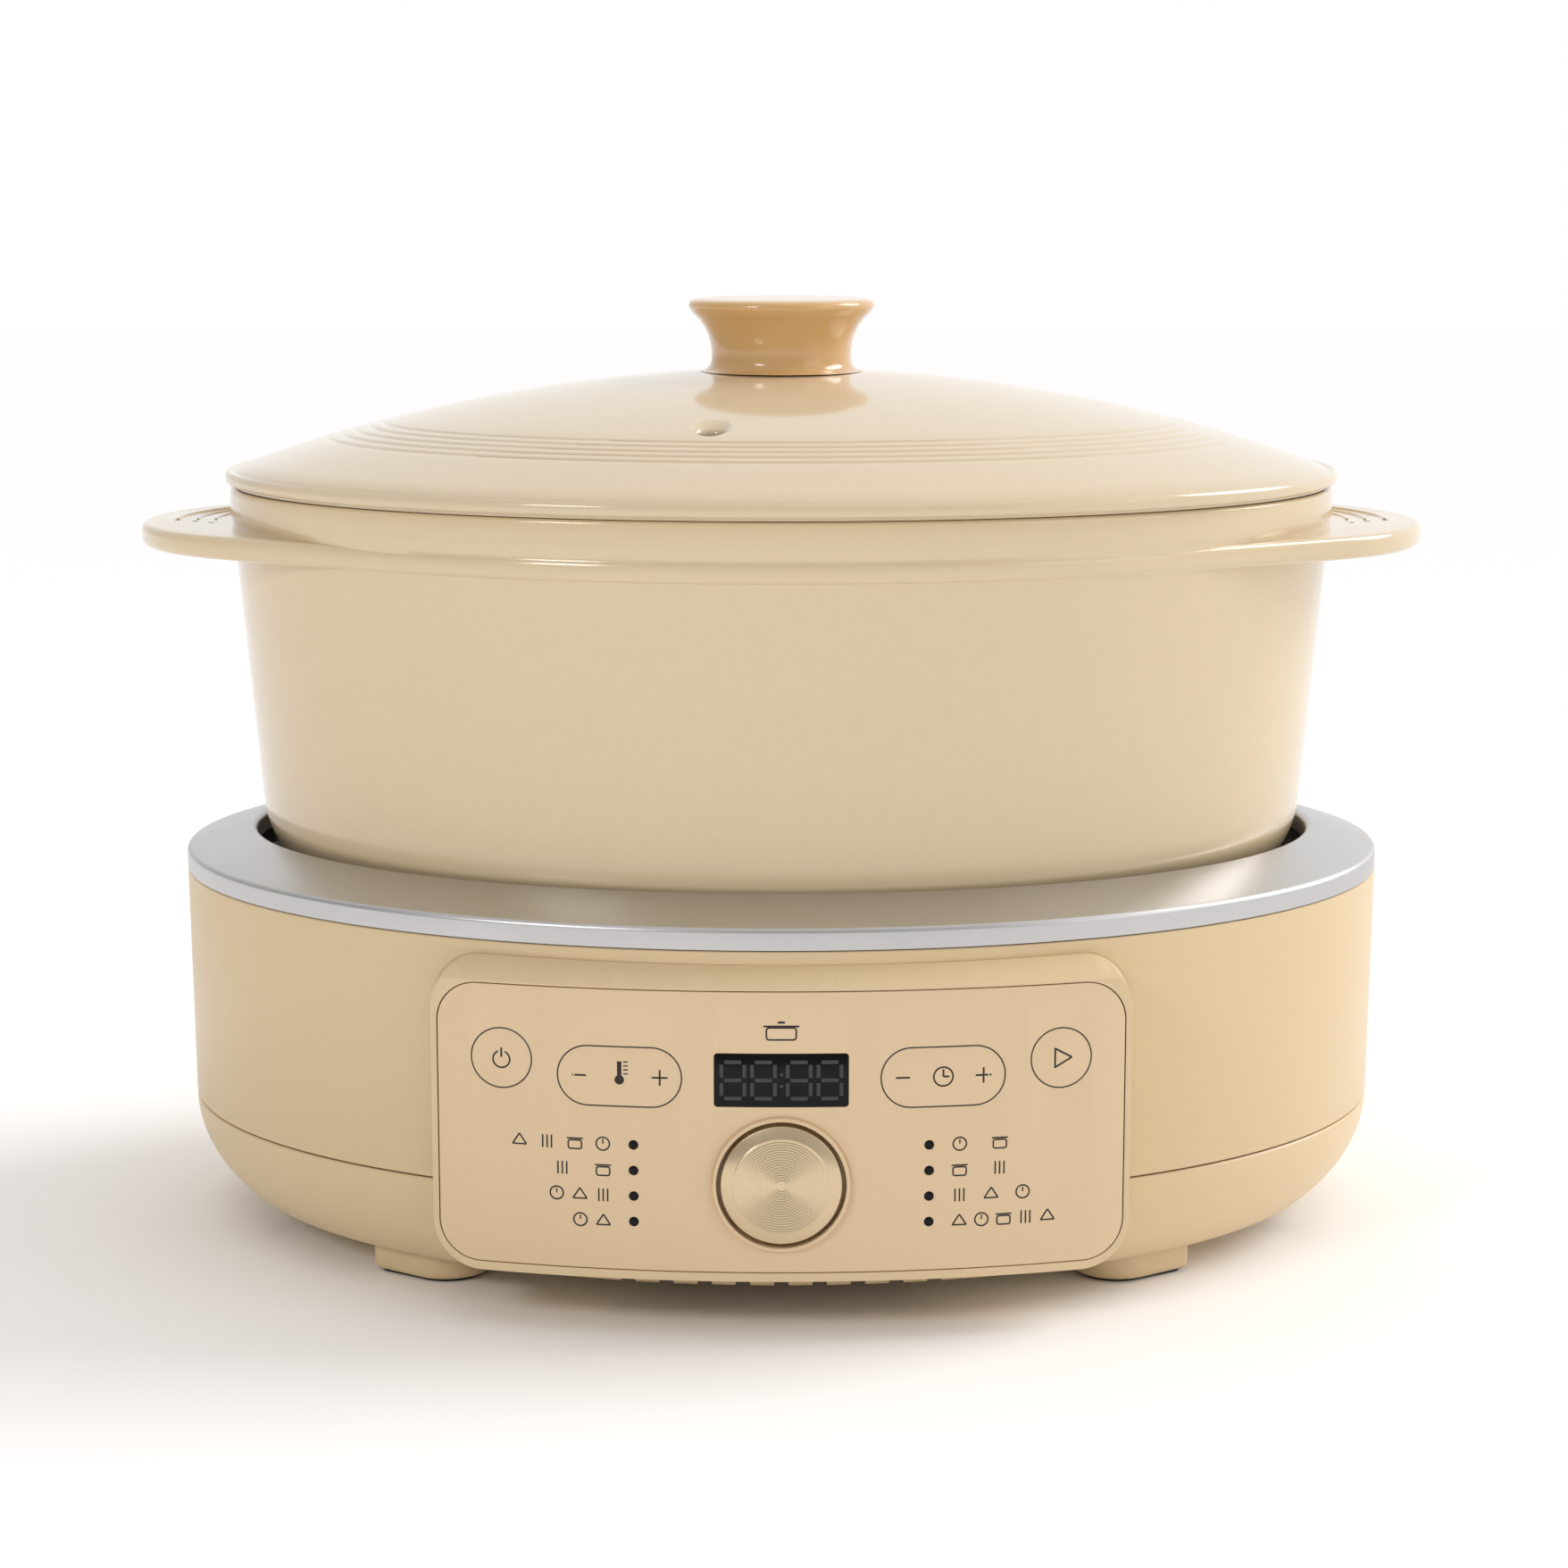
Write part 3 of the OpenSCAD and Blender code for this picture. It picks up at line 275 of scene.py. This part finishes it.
MATERIALS = {
    # Satin polypropylene casing, fine spark-eroded grain
    "shell_plastic": finish("satin_beige_casing", "#DDC49B", 0.36, bump=0.10, grain=1600, spread=0.015),
    # Smoother matching plastic of the panel and keys
    "panel_plastic": finish("smooth_beige_panel", "#E2C6A0", 0.33, bump=0.05, grain=1800, spread=0.012),
    # Satin stainless ring with a faint fine grain
    "ring_metal": finish("satin_stainless_ring", "#C9C8C7", 0.36, 1.0, bump=0.05, grain=900, vary=0.03,
                         spread=0.02),
    "silicone": finish("grey_silicone_seal", "#3A3A3C", 0.6, bump=0.08, grain=700),
    "well_aluminium": finish("drawn_aluminium_well", "#C6C6C6", 0.34, 1.0, bump=0.08, grain=420,
                             stretch=(1, 1, 9)),
    "cast_aluminium": finish("cast_aluminium_plate", "#9C9C9E", 0.5, 0.9, bump=0.35, grain=520, spread=0.06),
    "element_steel": finish("heated_steel_tube", "#5F5E60", 0.45, 0.9, bump=0.1, grain=800, spread=0.08),
    "fixing_steel": finish("zinc_plated_steel", "#BDBEC2", 0.32, 1.0, bump=0.05, grain=900, spread=0.04),
    "sensor_aluminium": finish("turned_aluminium", "#CBCBCD", 0.28, 1.0, bump=0.06, grain=900),
    "ceramic_white": finish("glazed_ceramic", "#E8E2D2", 0.3, bump=0.1, grain=600, coat=0.3),
    # Glossy black acrylic
    "window_black": finish("gloss_black_acrylic", "#070708", 0.14, bump=0.01, grain=600, vary=0.02, shine=0.2),
    "dark_plastic": finish("printed_brown_ink", "#1E1106", 0.45, bump=0.05, grain=1500, spread=0.08),
    "led_white": finish("led_resin", "#E9ECEF", 0.3, bump=0.04, grain=900),
    "circuit_board": finish("solder_mask_board", "#2F6B45", 0.35, bump=0.12, grain=700, spread=0.08),
    # Champagne anodised aluminium with a spun face
    "dial_metal": finish("champagne_spun_aluminium", "#D9C4A2", 0.3, 0.85, bump=0.05, grain=1200,
                         anisotropic=0.6),
    "blue_plastic": finish("blue_relay_case", "#2B4F86", 0.4, bump=0.08, grain=900),
    "winding_tape": finish("polyester_winding_tape", "#C8A443", 0.35, bump=0.2, grain=500, stretch=(1, 1, 8)),
    "green_plastic": finish("green_terminal_plastic", "#3B7D4F", 0.4, bump=0.08, grain=900),
    "fuse_glass": finish("sleeved_glass_fuse", "#D8DDE2", 0.15, bump=0.03, grain=900, coat=0.4),
    "pin_brass": finish("nickelled_brass_pin", "#C8C3B0", 0.28, 1.0, bump=0.04, grain=900),
    "lead_brown": finish("brown_wire_sleeve", "#7A4A2A", 0.45, bump=0.08, grain=900),
    "lead_white": finish("woven_white_sleeve", "#E6E2DA", 0.6, bump=0.3, grain=1400),
    "lead_green": finish("green_wire_sleeve", "#5A8A3A", 0.45, bump=0.08, grain=900),
    "lead_grey": finish("grey_ribbon_wire", "#C9CBD0", 0.45, bump=0.15, grain=900, stretch=(8, 1, 1)),
    "foot_rubber": finish("black_rubber_pad", "#202022", 0.75, bump=0.2, grain=700),
    # Sprayed glossy coating over aluminium
    "pot_enamel": finish("gloss_beige_pot_coating", "#DCC6A2", 0.16, bump=0.03, grain=260, coat=0.5,
                         spread=0.012),
    "lid_enamel": finish("gloss_cream_lid_coating", "#DAC6A6", 0.15, bump=0.03, grain=260, coat=0.5,
                         spread=0.012),
    "knob_enamel": finish("gloss_tan_knob_coating", "#D8AC72", 0.17, bump=0.03, grain=260, coat=0.5,
                          spread=0.012),
}

for part in frame["record"]["subparts"]:
    obj = frame["nodes"][part["node"]]
    obj.data.materials.clear()
    obj.data.materials.append(MATERIALS[part["material_slot"]])


# ---------- the casing ----------

WALL = even(RATIO_WALL)
side = turned([(176.6, 37.2), (178.5, 37.2), (178.85, 37.32), (179.05, 37.7), (179.98, 105.2),
               (179.85, 105.7), (179.5, 105.95), (170, 105.95), (170, 103.5), (177.4, 103.5)], WALL,
              (0, SHIFT), 256, True)
side = cut(side, plate(190.5, 86.0, 13.55, 0, 59.45, -160, -80, 24), plate(29, 21.5, 0, 0, 58, 125, 150))
keep(side, "side_wall", "base", "shell_plastic", "mid_shell")

SWEEP = degrees(asin(28 / 40))


def cover_line(inset, steps=22):
    """The cover's section from its flat underside up to the parting line."""
    points = []
    for i in range(steps + 1):
        s = radians(SWEEP * (1 - i / steps))
        points.append((179 - inset - 55 * (1 - cos(s)), max(36.7 - 40 * sin(s), 9 + inset)))
    return points


bowl = turned([(0.01, 9)] + cover_line(0)[:-1] + [(178.97, 36.2), (178.6, 36.65), (176.6, 36.7)]
              + cover_line(2.5)[::-1][1:] + [(0.01, 11.5)], even((179 - 42.5) / 179), (0, SHIFT), 256)
slots = [block(i * 8 - 1.6, i * 8 + 1.6, row * 34 - 38, row * 34 - 12, 7, 14)
         for row in (-1, 1) for i in range(-7, 8)]
slots += [block(i * 10.6 - 2, i * 10.6 + 2, -127.5, -113.5, 8, 12.5) for i in range(-4, 5)]
places = [(158 * cos(radians(t)), 115.5 * sin(radians(t))) for t in (15, 60, 120, 165, 200, 340)]
slots += [post(3.99, x, y, 7, 13) for x, y in places] + [post(3.59, x, y, 7, 13)
                                                         for x, y in ((62, 18), (-62, 18), (0, -32))]
bowl = cut(bowl, *slots)
bowl = cut(bowl, plate(190.5, 86.0, 13.55, 0, 59.45, -160, -80, 24))
bosses = [turned([(3.99, 9.0), (3.99, 24), (1.8, 24), (1.8, 36), (5.4, 36), (5.4, 11)], round_disc,
                 (x, y + SHIFT), 32) for x, y in places]
bowl = join([bowl] + bosses)
keep(bowl, "bottom_bowl", "base", "shell_plastic", "bottom_cover")

ring = turned([(178.6, 106.3), (180, 106.32)] + arc(178.4, 110.9, 1.6, 0, 75)
              + arc(160.9, 116.1, 1.9, 80, 180) + [(159.0, 112), (160.2, 112), (160.4, 116.0), (177.8, 109.4),
                                                   (178.6, 108.5)],
              offset(42.5), (0, SHIFT), 256, True)
keep(ring, "metal_ring", "base", "ring_metal", "deck_ring")

FOOT_END = 107.2 * sqrt(1 - (96 / 149.7) ** 2)


def hull(parts):
    """The smallest convex body round some parts, with its flat sides made whole."""
    obj = join(parts)
    bpy.ops.object.mode_set(mode="EDIT")
    bpy.ops.mesh.select_all(action="SELECT")
    bpy.ops.mesh.convex_hull()
    bpy.ops.mesh.select_all(action="SELECT")
    bpy.ops.mesh.remove_doubles(threshold=0.02 * MM)
    bpy.ops.mesh.dissolve_limited(angle_limit=radians(0.5))
    bpy.ops.object.mode_set(mode="OBJECT")
    return obj


def foot_blocks(grow, z0, z1):
    """Four blocks under the cover's edge, each with a round inner end and small outer corners."""
    return [hull([post(13 + grow, sx * 96, sy * FOOT_END, z0, z1, 64)]
                 + [post(3 + grow / 2, sx * (114 + grow / 2), sy * y, z0, z1) for y in (81.8, 57 - grow)])
            for sx in (-1, 1) for sy in (-1, 1)]


feet = join([soften(foot, 1.9, 4, 40) for foot in foot_blocks(0, 0.9, 9.3)])
keep(feet, "feet", "base", "shell_plastic", "cover_feet")
pads = join([soften(pad, 0.4, 2, 40) for pad in foot_blocks(-2.5, 0, 1.1)])
keep(pads, "foot_pad_faces", "base", "foot_rubber", "foot_pads")

# ---------- the pot ----------

POT_B = 164.6 - 41.5
POT = even(POT_B / 164.6)


def pot_line(z):
    return 164.6 - 1.7 - (220 - 22.8 - z) * 0.09


pot = turned([(0.01, 100)] + arc(pot_line(128) - 28, 128, 28, -90, -5, 14)
             + [(pot_line(160), 160), (pot_line(209.6), 209.6), (164.1, 210.6), (164.55, 211.4), (164.6, 212.5)]
             + arc(163.2, 218.6, 1.4, 0, 180, 10)
             + [(161.6, 216), (161.2, 211), (pot_line(160) - 4, 160)]
             + arc(pot_line(128) - 28.4, 128, 24, -5, -90, 12) + [(0.01, 104)], POT, (0, SHIFT), 256)


def handle_plates():
    """Both handles: a plate round the pot's oval and a large circle beyond each end."""
    parts = [turned([(0.01, 202.6), (164.4, 202.6), (164.4, 209.3), (0.01, 209.3)], POT, (0, SHIFT), 256)]
    parts += [post(67.95, x, 0, 202.6, 209.3, 160) for x in (-123.5, 123.5)]
    plates = hull(parts)
    plates = soften(plates, 2.1, 5, 60)
    hole = turned([(0.01, 195), (162.3, 195), (162.3, 215), (0.01, 215)], POT, (0, SHIFT), 256)
    return combine(plates, hole, "DIFFERENCE")


pot = combine(pot, handle_plates(), "UNION")
keep(pot, "pot_shell", "pot", "pot_enamel", "pot", angle=40)

marks = []
for s in (-1, 1):
    for x, y in ((180.7, -6), (174.8, -10), (169.4, -14)):
        marks.append(post(0.85, s * x, y, 208.9, 209.34, 20))
marks = join(marks)
keep(marks, "handle_dots", "pot", "dark_plastic")

ridges = []
for s in (-1, 1):
    for radius in (57.9, 52.0, 46.6):
        bpy.ops.mesh.primitive_torus_add(major_radius=radius * MM, minor_radius=0.55 * MM, major_segments=160,
                                         minor_segments=16, location=(s * 123.1 * MM, SHIFT * MM, 209.15 * MM))
        ridge = bpy.context.active_object
        bpy.ops.object.transform_apply(location=True)
        ridges.append(combine(ridge, block(min(s * 126, s * 200), max(s * 126, s * 200), -4, 90, 208.6, 212),
                              "INTERSECT"))
ridges = combine(join(ridges), turned([(0.01, 195), (165.4, 195), (165.4, 215), (0.01, 215)], POT, (0, SHIFT),
                                      256), "DIFFERENCE")
keep(ridges, "handle_ridges", "pot", "pot_enamel", angle=60)

# ---------- the lid ----------

LID = even(126 / 166)


def dome(r, depth=0):
    return 254 - 475 + sqrt((475 - depth) ** 2 - r * r)


grooves = []
for i in range(4, -1, -1):
    r = 119 + 4.05 * i
    grooves += [(r + 1.3, dome(r + 1.3)), (r + 0.8, dome(r + 0.8) - 0.05), (r + 0.25, dome(r) - 0.36),
                (r - 0.25, dome(r) - 0.36), (r - 0.8, dome(r - 0.8) - 0.05), (r - 1.3, dome(r - 1.3))]
lid = turned([(152.6, 214), (156.5, 214), (156.5, 220.3), (163, 220.3), (163, 221.3), (165.2, 221.32),
              (165.7, 221.6), (165.9, 222.1)] + [(165.98, 223.6), (165.7, 224.4), (164.9, 224.9)]
             + [(163.6, dome(163.6) - 0.5), (163.0, dome(163.0) - 0.62), (162.4, dome(162.4) - 0.4),
                (161.4, dome(161.4))]
             + [(r, dome(r)) for r in (156, 150, 144, 139)] + grooves
             + [(112 * (1 - i / 16) + 0.01, dome(112 * (1 - i / 16))) for i in range(17)][:-1] + [(0.01, 254)],
             LID, (0, SHIFT), 256)
inner = turned([(152.6, 214)] + [(152.6 * (1 - i / 12) + 0.01, dome(152.6 * (1 - i / 12), 3.2))
                                 for i in range(13)], even((126 - 9) / (156.5 - 2.7)), (0, SHIFT), 256)
lid = join([lid, inner])
bpy.ops.object.mode_set(mode="EDIT")
bpy.ops.mesh.select_all(action="SELECT")
bpy.ops.mesh.remove_doubles(threshold=0.01 * MM)
bpy.ops.mesh.normals_make_consistent(inside=False)
bpy.ops.object.mode_set(mode="OBJECT")
keep(lid, "lid_shell", "lid", "lid_enamel", "lid_dome", angle=60)

knob = turned([(0.01, 251.5), (3.2, 251.5), (3.2, 253.9), (20, dome(20) + 0.03), (24.3, dome(24.3) + 0.03)]
              + arc(24.4, dome(24.3) + 3.6, 3.5, -95, -180, 8)
              + arc(36.8, 258.4, 16, 180, 132, 12) + [(26.6, 270.7)]
              + arc(26.0, 272.9, 1.7, -50, 60, 8) + [(25.6, 274.75), (24.2, 274.9), (12, 275), (0.01, 275)],
              round_disc, (0, SHIFT), 160)
keep(knob, "knob_body", "lid", "knob_enamel", "lid_knob", angle=40)

vent_z = dome(sqrt(19.5 ** 2 + (81 / 126 * 166) ** 2))
hole = turned([(4.3, vent_z - 12), (4.3, vent_z - 1.6)] + arc(6.1, vent_z - 1.4, 1.8, 180, 120, 5)
              + [(8.6, vent_z + 3.0), (8.6, vent_z + 9)], round_disc, (-19.5, -81 + SHIFT), 64)
bpy.ops.object.mode_set(mode="EDIT")
bpy.ops.mesh.select_all(action="DESELECT")
bpy.ops.mesh.select_non_manifold()
bpy.ops.mesh.fill_holes(sides=0)
bpy.ops.mesh.select_all(action="SELECT")
bpy.ops.mesh.normals_make_consistent(inside=False)
bpy.ops.object.mode_set(mode="OBJECT")
combine(lid, hole, "DIFFERENCE")
select(lid)
bpy.ops.object.shade_smooth_by_angle(angle=radians(50))

# ---------- the control pod ----------

pod = plate(190.4, 85.9, 13.5, 0, 59.45, -150, -118, 24)
pod = on_panel(pod, 0, 22)
pod = cut(pod, plate(187.1, 78.1, 11.35, 0, 57.9, -160, -90, 24))
slope = turned([(301, 97.4), (301, 110), (285, 110), (292.5, 102.5), (300, 97.4)], round_disc, (0, POD_AXIS),
               720, True)
pod = combine(pod, slope, "DIFFERENCE")
pod = soften(pod, 0.5, 3, 40)
tray = on_panel(plate(188.1, 79.1, 11.85, 0, 57.9, -150, -100, 20), 5.6, 7.1)
windows = [rod(10.2, s * 75.6, 76.4, -150, -100) for s in (-1, 1)]
windows += [plate(35, 18, 9, s * 43.5, 72.8, -150, -100) for s in (-1, 1)]
windows += [rod(16, 0, 43.7, -150, -100), plate(34.6, 13.8, 0, 0, 72.5, -150, -100)]
windows += [rod(2, s * 39.8, 54 - 7.13 * i, -150, -100, 24) for s in (-1, 1) for i in range(4)]
tray = cut(tray, *windows)
pod = join([pod, tray])
keep(pod, "panel_frame", "base", "shell_plastic", "control_pod")

face = on_panel(plate(186.4, 77.4, 11, 0, 57.9, -150, -120, 24), 0, 2.5)
holes = [rod(8.45, s * 75.6, 76.4, -150, -100) for s in (-1, 1)]
holes += [plate(33.9, 16.8, 8.4, s * 43.5, 72.8, -150, -100, 16) for s in (-1, 1)]
holes += [rod(18.7, 0, 43.7, -150, -100, 96), plate(36.2, 14.8, 1, 0, 72.5, -150, -100)]
holes += [rod(1.35, s * 39.8, 54 - 7.13 * i, -150, -100, 24) for s in (-1, 1) for i in range(4)]
face = cut(face, *holes)
face = soften(face, 0.28, 3, 40)
keep(face, "panel_plate", "base", "panel_plastic", "panel_face")

window = on_panel(plate(36.1, 14.7, 1, 0, 72.5, -150, -130), 0, 2.5)
window = soften(window, 0.15, 2, 40)
keep(window, "display_glass", "base", "window_black", "display_window")

lenses = join([rod(1.3, s * 39.8, 54 - 7.13 * i, panel_y(39.8) - 0.05, -128.5, 32)
               for s in (-1, 1) for i in range(4)])
lenses = soften(lenses, 0.2, 2, 40)
keep(lenses, "lamp_lens_tops", "base", "window_black", "lamp_lenses")

bezel = turned([(17.55, -0.5), (17.55, 1.0), (17.75, 1.25), (18.1, 1.3), (18.45, 1.15), (18.65, 0.8), (18.65, -5.4),
                (8, -5.4), (8, -4.4), (17.55, -4.4)], round_disc, (0, 0), 128, True)
keep(upright(bezel, 0, 43.7, -145), "dial_surround", "base", "panel_plastic", "dial_bezel")

spun = []
for i in range(17, 0, -1):
    r = 0.7 * i + 0.9
    spun += [(r, 2.0), (r - 0.35, 1.91)]
dial = turned([(15.3, -3.2), (16.4, -3.2), (16.4, 0.5)] + arc(15.9, 0.6, 0.5, 0, 70, 5)
              + [(13.2, 1.86), (13.0, 2.0)] + spun + [(0.4, 2.0), (0.01, 1.98)], round_disc, (0, 0), 160)
skirt = turned([(15.3, -3.2), (15.3, -0.4), (0.01, -0.4)], round_disc, (0, 0), 160)
dial = join([dial, skirt])
keep(upright(dial, 0, 43.7, -145), "dial_knob", "dial", "dial_metal", "dial_cap", angle=12)

for name, s in (("power_key", -1), ("start_key", 1)):
    top = soften(on_panel(rod(8.1, s * 75.6, 76.4, -150, -110, 72), 0, 3.3), 0.25, 3, 40)
    flange = on_panel(rod(9.4, s * 75.6, 76.4, -150, -110, 72), 2.9, 3.8)
    keep(join([top, flange]), name + "_top", name, "panel_plastic", name)

for name, s in (("temp_key", -1), ("time_key", 1)):
    top = soften(on_panel(plate(33.2, 16.1, 8.05, s * 43.5, 72.8, -150, -110, 16), 0, 4.4), 0.25, 3, 40)
    flange = on_panel(plate(35.2, 18.1, 9.05, s * 43.5, 72.8, -150, -110, 16), 3.4, 4.4)
    legs = [rod(1.5, s * 43.5 + e * 11, 72.8, panel_y(43.5) + 2, -126.4 - 3.5 - 0.5 - 0.6, 32) for e in (-1, 1)]
    legs.append(post(1, s * 43.5, panel_y(43.5) + 3.9, 60.8, 84.8, 32))
    keep(join([top, flange] + legs), name + "_top", name, "panel_plastic", name)

# ---------- printing: outlines, symbols and the resting digits ----------

DEEP, NEAR = -150, -110


def stroke(x0, z0, x1, z1, w=0.5):
    """A straight printed line between two places."""
    length = sqrt((x1 - x0) ** 2 + (z1 - z0) ** 2)
    turn = -degrees(atan2(z1 - z0, x1 - x0))
    mx, mz = (x0 + x1) / 2, (z0 + z1) / 2
    return block(mx - length / 2, mx + length / 2, DEEP, NEAR, mz - w / 2, mz + w / 2, turn)


def loop(r, x, z, w=0.45, segments=48):
    return cut(rod(r + w / 2, x, z, DEEP, NEAR, segments), rod(r - w / 2, x, z, DEEP - 2, NEAR + 2, segments))


def frame_line(width, height, r, x, z, w=0.45):
    return cut(plate(width + w, height + w, r + w / 2, x, z, DEEP, NEAR),
               plate(width - w, height - w, max(r - w / 2, 0.05), x, z, DEEP - 2, NEAR + 2))


def printed(parts, name, body, slot="dark_plastic", lift=0.04, sink=0.3):
    keep(on_panel(join(parts), -lift, sink, True), name, body, slot)


for name, s in (("power_key", -1), ("start_key", 1)):
    printed([loop(8.27, s * 75.6, 76.4, 0.34, 72)], name + "_outline", "base", sink=2.0)
for name, s in (("temp_key", -1), ("time_key", 1)):
    printed([frame_line(33.55, 16.45, 8.22, s * 43.5, 72.8, 0.34)], name + "_outline", "base", sink=2.0)

power = [loop(2.3, -75.6, 76.0), ]
printed([cut(power[0], block(-76.5, -74.7, -160, -100, 77, 80)), stroke(-75.6, 76.6, -75.6, 79.2)],
        "power_symbol", "power_key")
printed([stroke(73.9, 79.0, 78.5, 76.4), stroke(78.5, 76.4, 73.9, 73.8), stroke(73.9, 73.6, 73.9, 79.2)],
        "start_symbol", "start_key")
thermo = [stroke(-43.5, 73.0, -43.5, 77.0, 1.2), rod(1.3, -43.5, 71.9, DEEP, NEAR, 24)]
thermo += [stroke(-42.4, 73.6 + i * 1.1, -41.2, 73.6 + i * 1.1, 0.35) for i in range(4)]
printed(thermo + [stroke(-56.3, 72.8, -52.5, 72.8), stroke(-34.75, 72.8, -30.45, 72.8),
                  stroke(-32.6, 70.65, -32.6, 74.95)], "temp_symbols", "temp_key")
printed([loop(2.6, 43.5, 72.8), stroke(43.5, 72.8, 43.5, 74.8), stroke(43.5, 72.8, 45.1, 72.8),
         stroke(30.7, 72.8, 34.5, 72.8), stroke(52.25, 72.8, 56.55, 72.8), stroke(54.4, 70.65, 54.4, 74.95)],
        "time_symbols", "time_key")


def pot_mark(x, z, w, h):
    """A plain cooking pot with a lid, as an outline."""
    return [frame_line(w, h * 0.55, 0.8, x, z - h * 0.18), stroke(x - w * 0.6, z + h * 0.16, x + w * 0.6, z + h * 0.16),
            stroke(x - w * 0.12, z + h * 0.34, x + w * 0.12, z + h * 0.34, 0.6)]


printed(pot_mark(0, 86.4, 8, 6), "pot_symbol", "base")

marks = []
widths = ((27, 15.3, 16.9, 10.5), (15.1, 15.1, 21.5, 28.4))
for s, row in zip((-1, 1), widths):
    for i, width in enumerate(row):
        z = 54 - 7.13 * i
        count = max(2, round(width / 6.2))
        for k in range(count):
            x = s * (46 + 2.1 + k * (width - 4.2) / (count - 1))
            kind = (i + k) % 4
            if kind == 0:
                marks.append(loop(1.8, x, z, 0.42, 32))
                marks.append(stroke(x, z, x, z + 1.3, 0.36))
            elif kind == 1:
                marks.append(frame_line(3.6, 2.4, 0.6, x, z - 0.5, 0.42))
                marks.append(stroke(x - 2.2, z + 1.2, x + 2.2, z + 1.2, 0.42))
            elif kind == 2:
                marks += [stroke(x - 1.2 + d, z - 1.8, x - 1.2 + d, z + 1.8, 0.42) for d in (0, 1.2, 2.4)]
            else:
                marks += [stroke(x - 1.9, z - 1.2, x, z + 1.7, 0.42), stroke(x, z + 1.7, x + 1.9, z - 1.2, 0.42),
                          stroke(x - 1.9, z - 1.2, x + 1.9, z - 1.2, 0.42)]
printed(marks, "mode_symbols", "base")

segments = []
for x0 in (-16.05, -7.85, 1.7, 9.95):
    x1, low, mid, high, w = x0 + 6.15, 67.5, 72.5, 77.5, 1.0
    for z in (low, mid, high):
        segments.append(stroke(x0 + 0.8, z, x1 - 0.8, z, w))
    for x in (x0, x1):
        segments.append(stroke(x, low + 0.7, x, mid - 0.7, w))
        segments.append(stroke(x, mid + 0.7, x, high - 0.7, w))
segments += [rod(0.45, 0.1, 72.5 + d, DEEP, NEAR, 20) for d in (-1.6, 1.6)]
printed(segments, "resting_digits", "base", "silicone")

# ---------- stage ----------

bpy.ops.mesh.primitive_plane_add(size=12)
floor = bpy.context.active_object
floor.name = "floor"
white = bpy.data.materials.new("white_floor")
white.use_nodes = True
white.node_tree.nodes.clear()
diffuse = add_node(white.node_tree, "ShaderNodeBsdfDiffuse", {"Color": (0.98, 0.965, 0.96, 1)})
add_node(white.node_tree, "ShaderNodeOutputMaterial", {"Surface": diffuse.outputs[0]})
floor.data.materials.append(white)

# A white room, dimmer in front of the object and to its left
world = bpy.data.worlds.new("studio")
bpy.context.scene.world = world
world.use_nodes = True
world.node_tree.nodes.clear()
around = add_node(world.node_tree, "ShaderNodeTexCoord")
ways = add_node(world.node_tree, "ShaderNodeSeparateXYZ", {"Vector": around.outputs["Generated"]})
front = add_node(world.node_tree, "ShaderNodeMapRange", {"Value": ways.outputs["Y"], "From Min": -0.85,
                                                         "From Max": 0.15, "To Min": 0.42, "To Max": 1.0})
left = add_node(world.node_tree, "ShaderNodeMapRange", {"Value": ways.outputs["X"], "From Min": -0.9,
                                                        "From Max": -0.22, "To Min": 0.5, "To Max": 1.0})
power = add_node(world.node_tree, "ShaderNodeMath", {0: front.outputs[0], 1: left.outputs[0]},
                 operation="MULTIPLY")
sky = add_node(world.node_tree, "ShaderNodeBackground", {"Color": (1, 1, 1, 1),
                                                         "Strength": power.outputs[0]})
add_node(world.node_tree, "ShaderNodeOutputWorld", {"Surface": sky.outputs[0]})


def lamp(kind, name, place, aim, power, size):
    """A light at a place that faces a point: size is its side in metres, or the sun's angle."""
    bpy.ops.object.light_add(type=kind, location=place)
    light = bpy.context.active_object
    light.name = name
    light.data.energy = power
    if kind == "SUN":
        light.data.angle = radians(size)
    else:
        light.data.size = size
    light.rotation_euler = (Vector(aim) - Vector(place)).to_track_quat("-Z", "Y").to_euler()


lamp("SUN", "sun_from_right", (1.5, 0.55, 1.05), (0, 0, 0), 1.5, 30)
lamp("AREA", "soft_front_right", (1.3, -0.9, 0.7), (0, 0, 0.12), 2.2, 0.9)
lamp("AREA", "strip_front_left", (-0.75, -1.0, 0.75), (0, 0, 0.15), 3.0, 0.28)

bpy.ops.object.camera_add(location=(0, (-1073 + SHIFT) * MM, 312.8 * MM),
                          rotation=(radians(90 - 9.77), 0, 0))
camera = bpy.context.active_object
camera.data.lens = 82
camera.data.sensor_width = 36
camera.data.shift_x = 0.0017
bpy.context.scene.camera = camera
bpy.context.scene.view_settings.view_transform = "Standard"
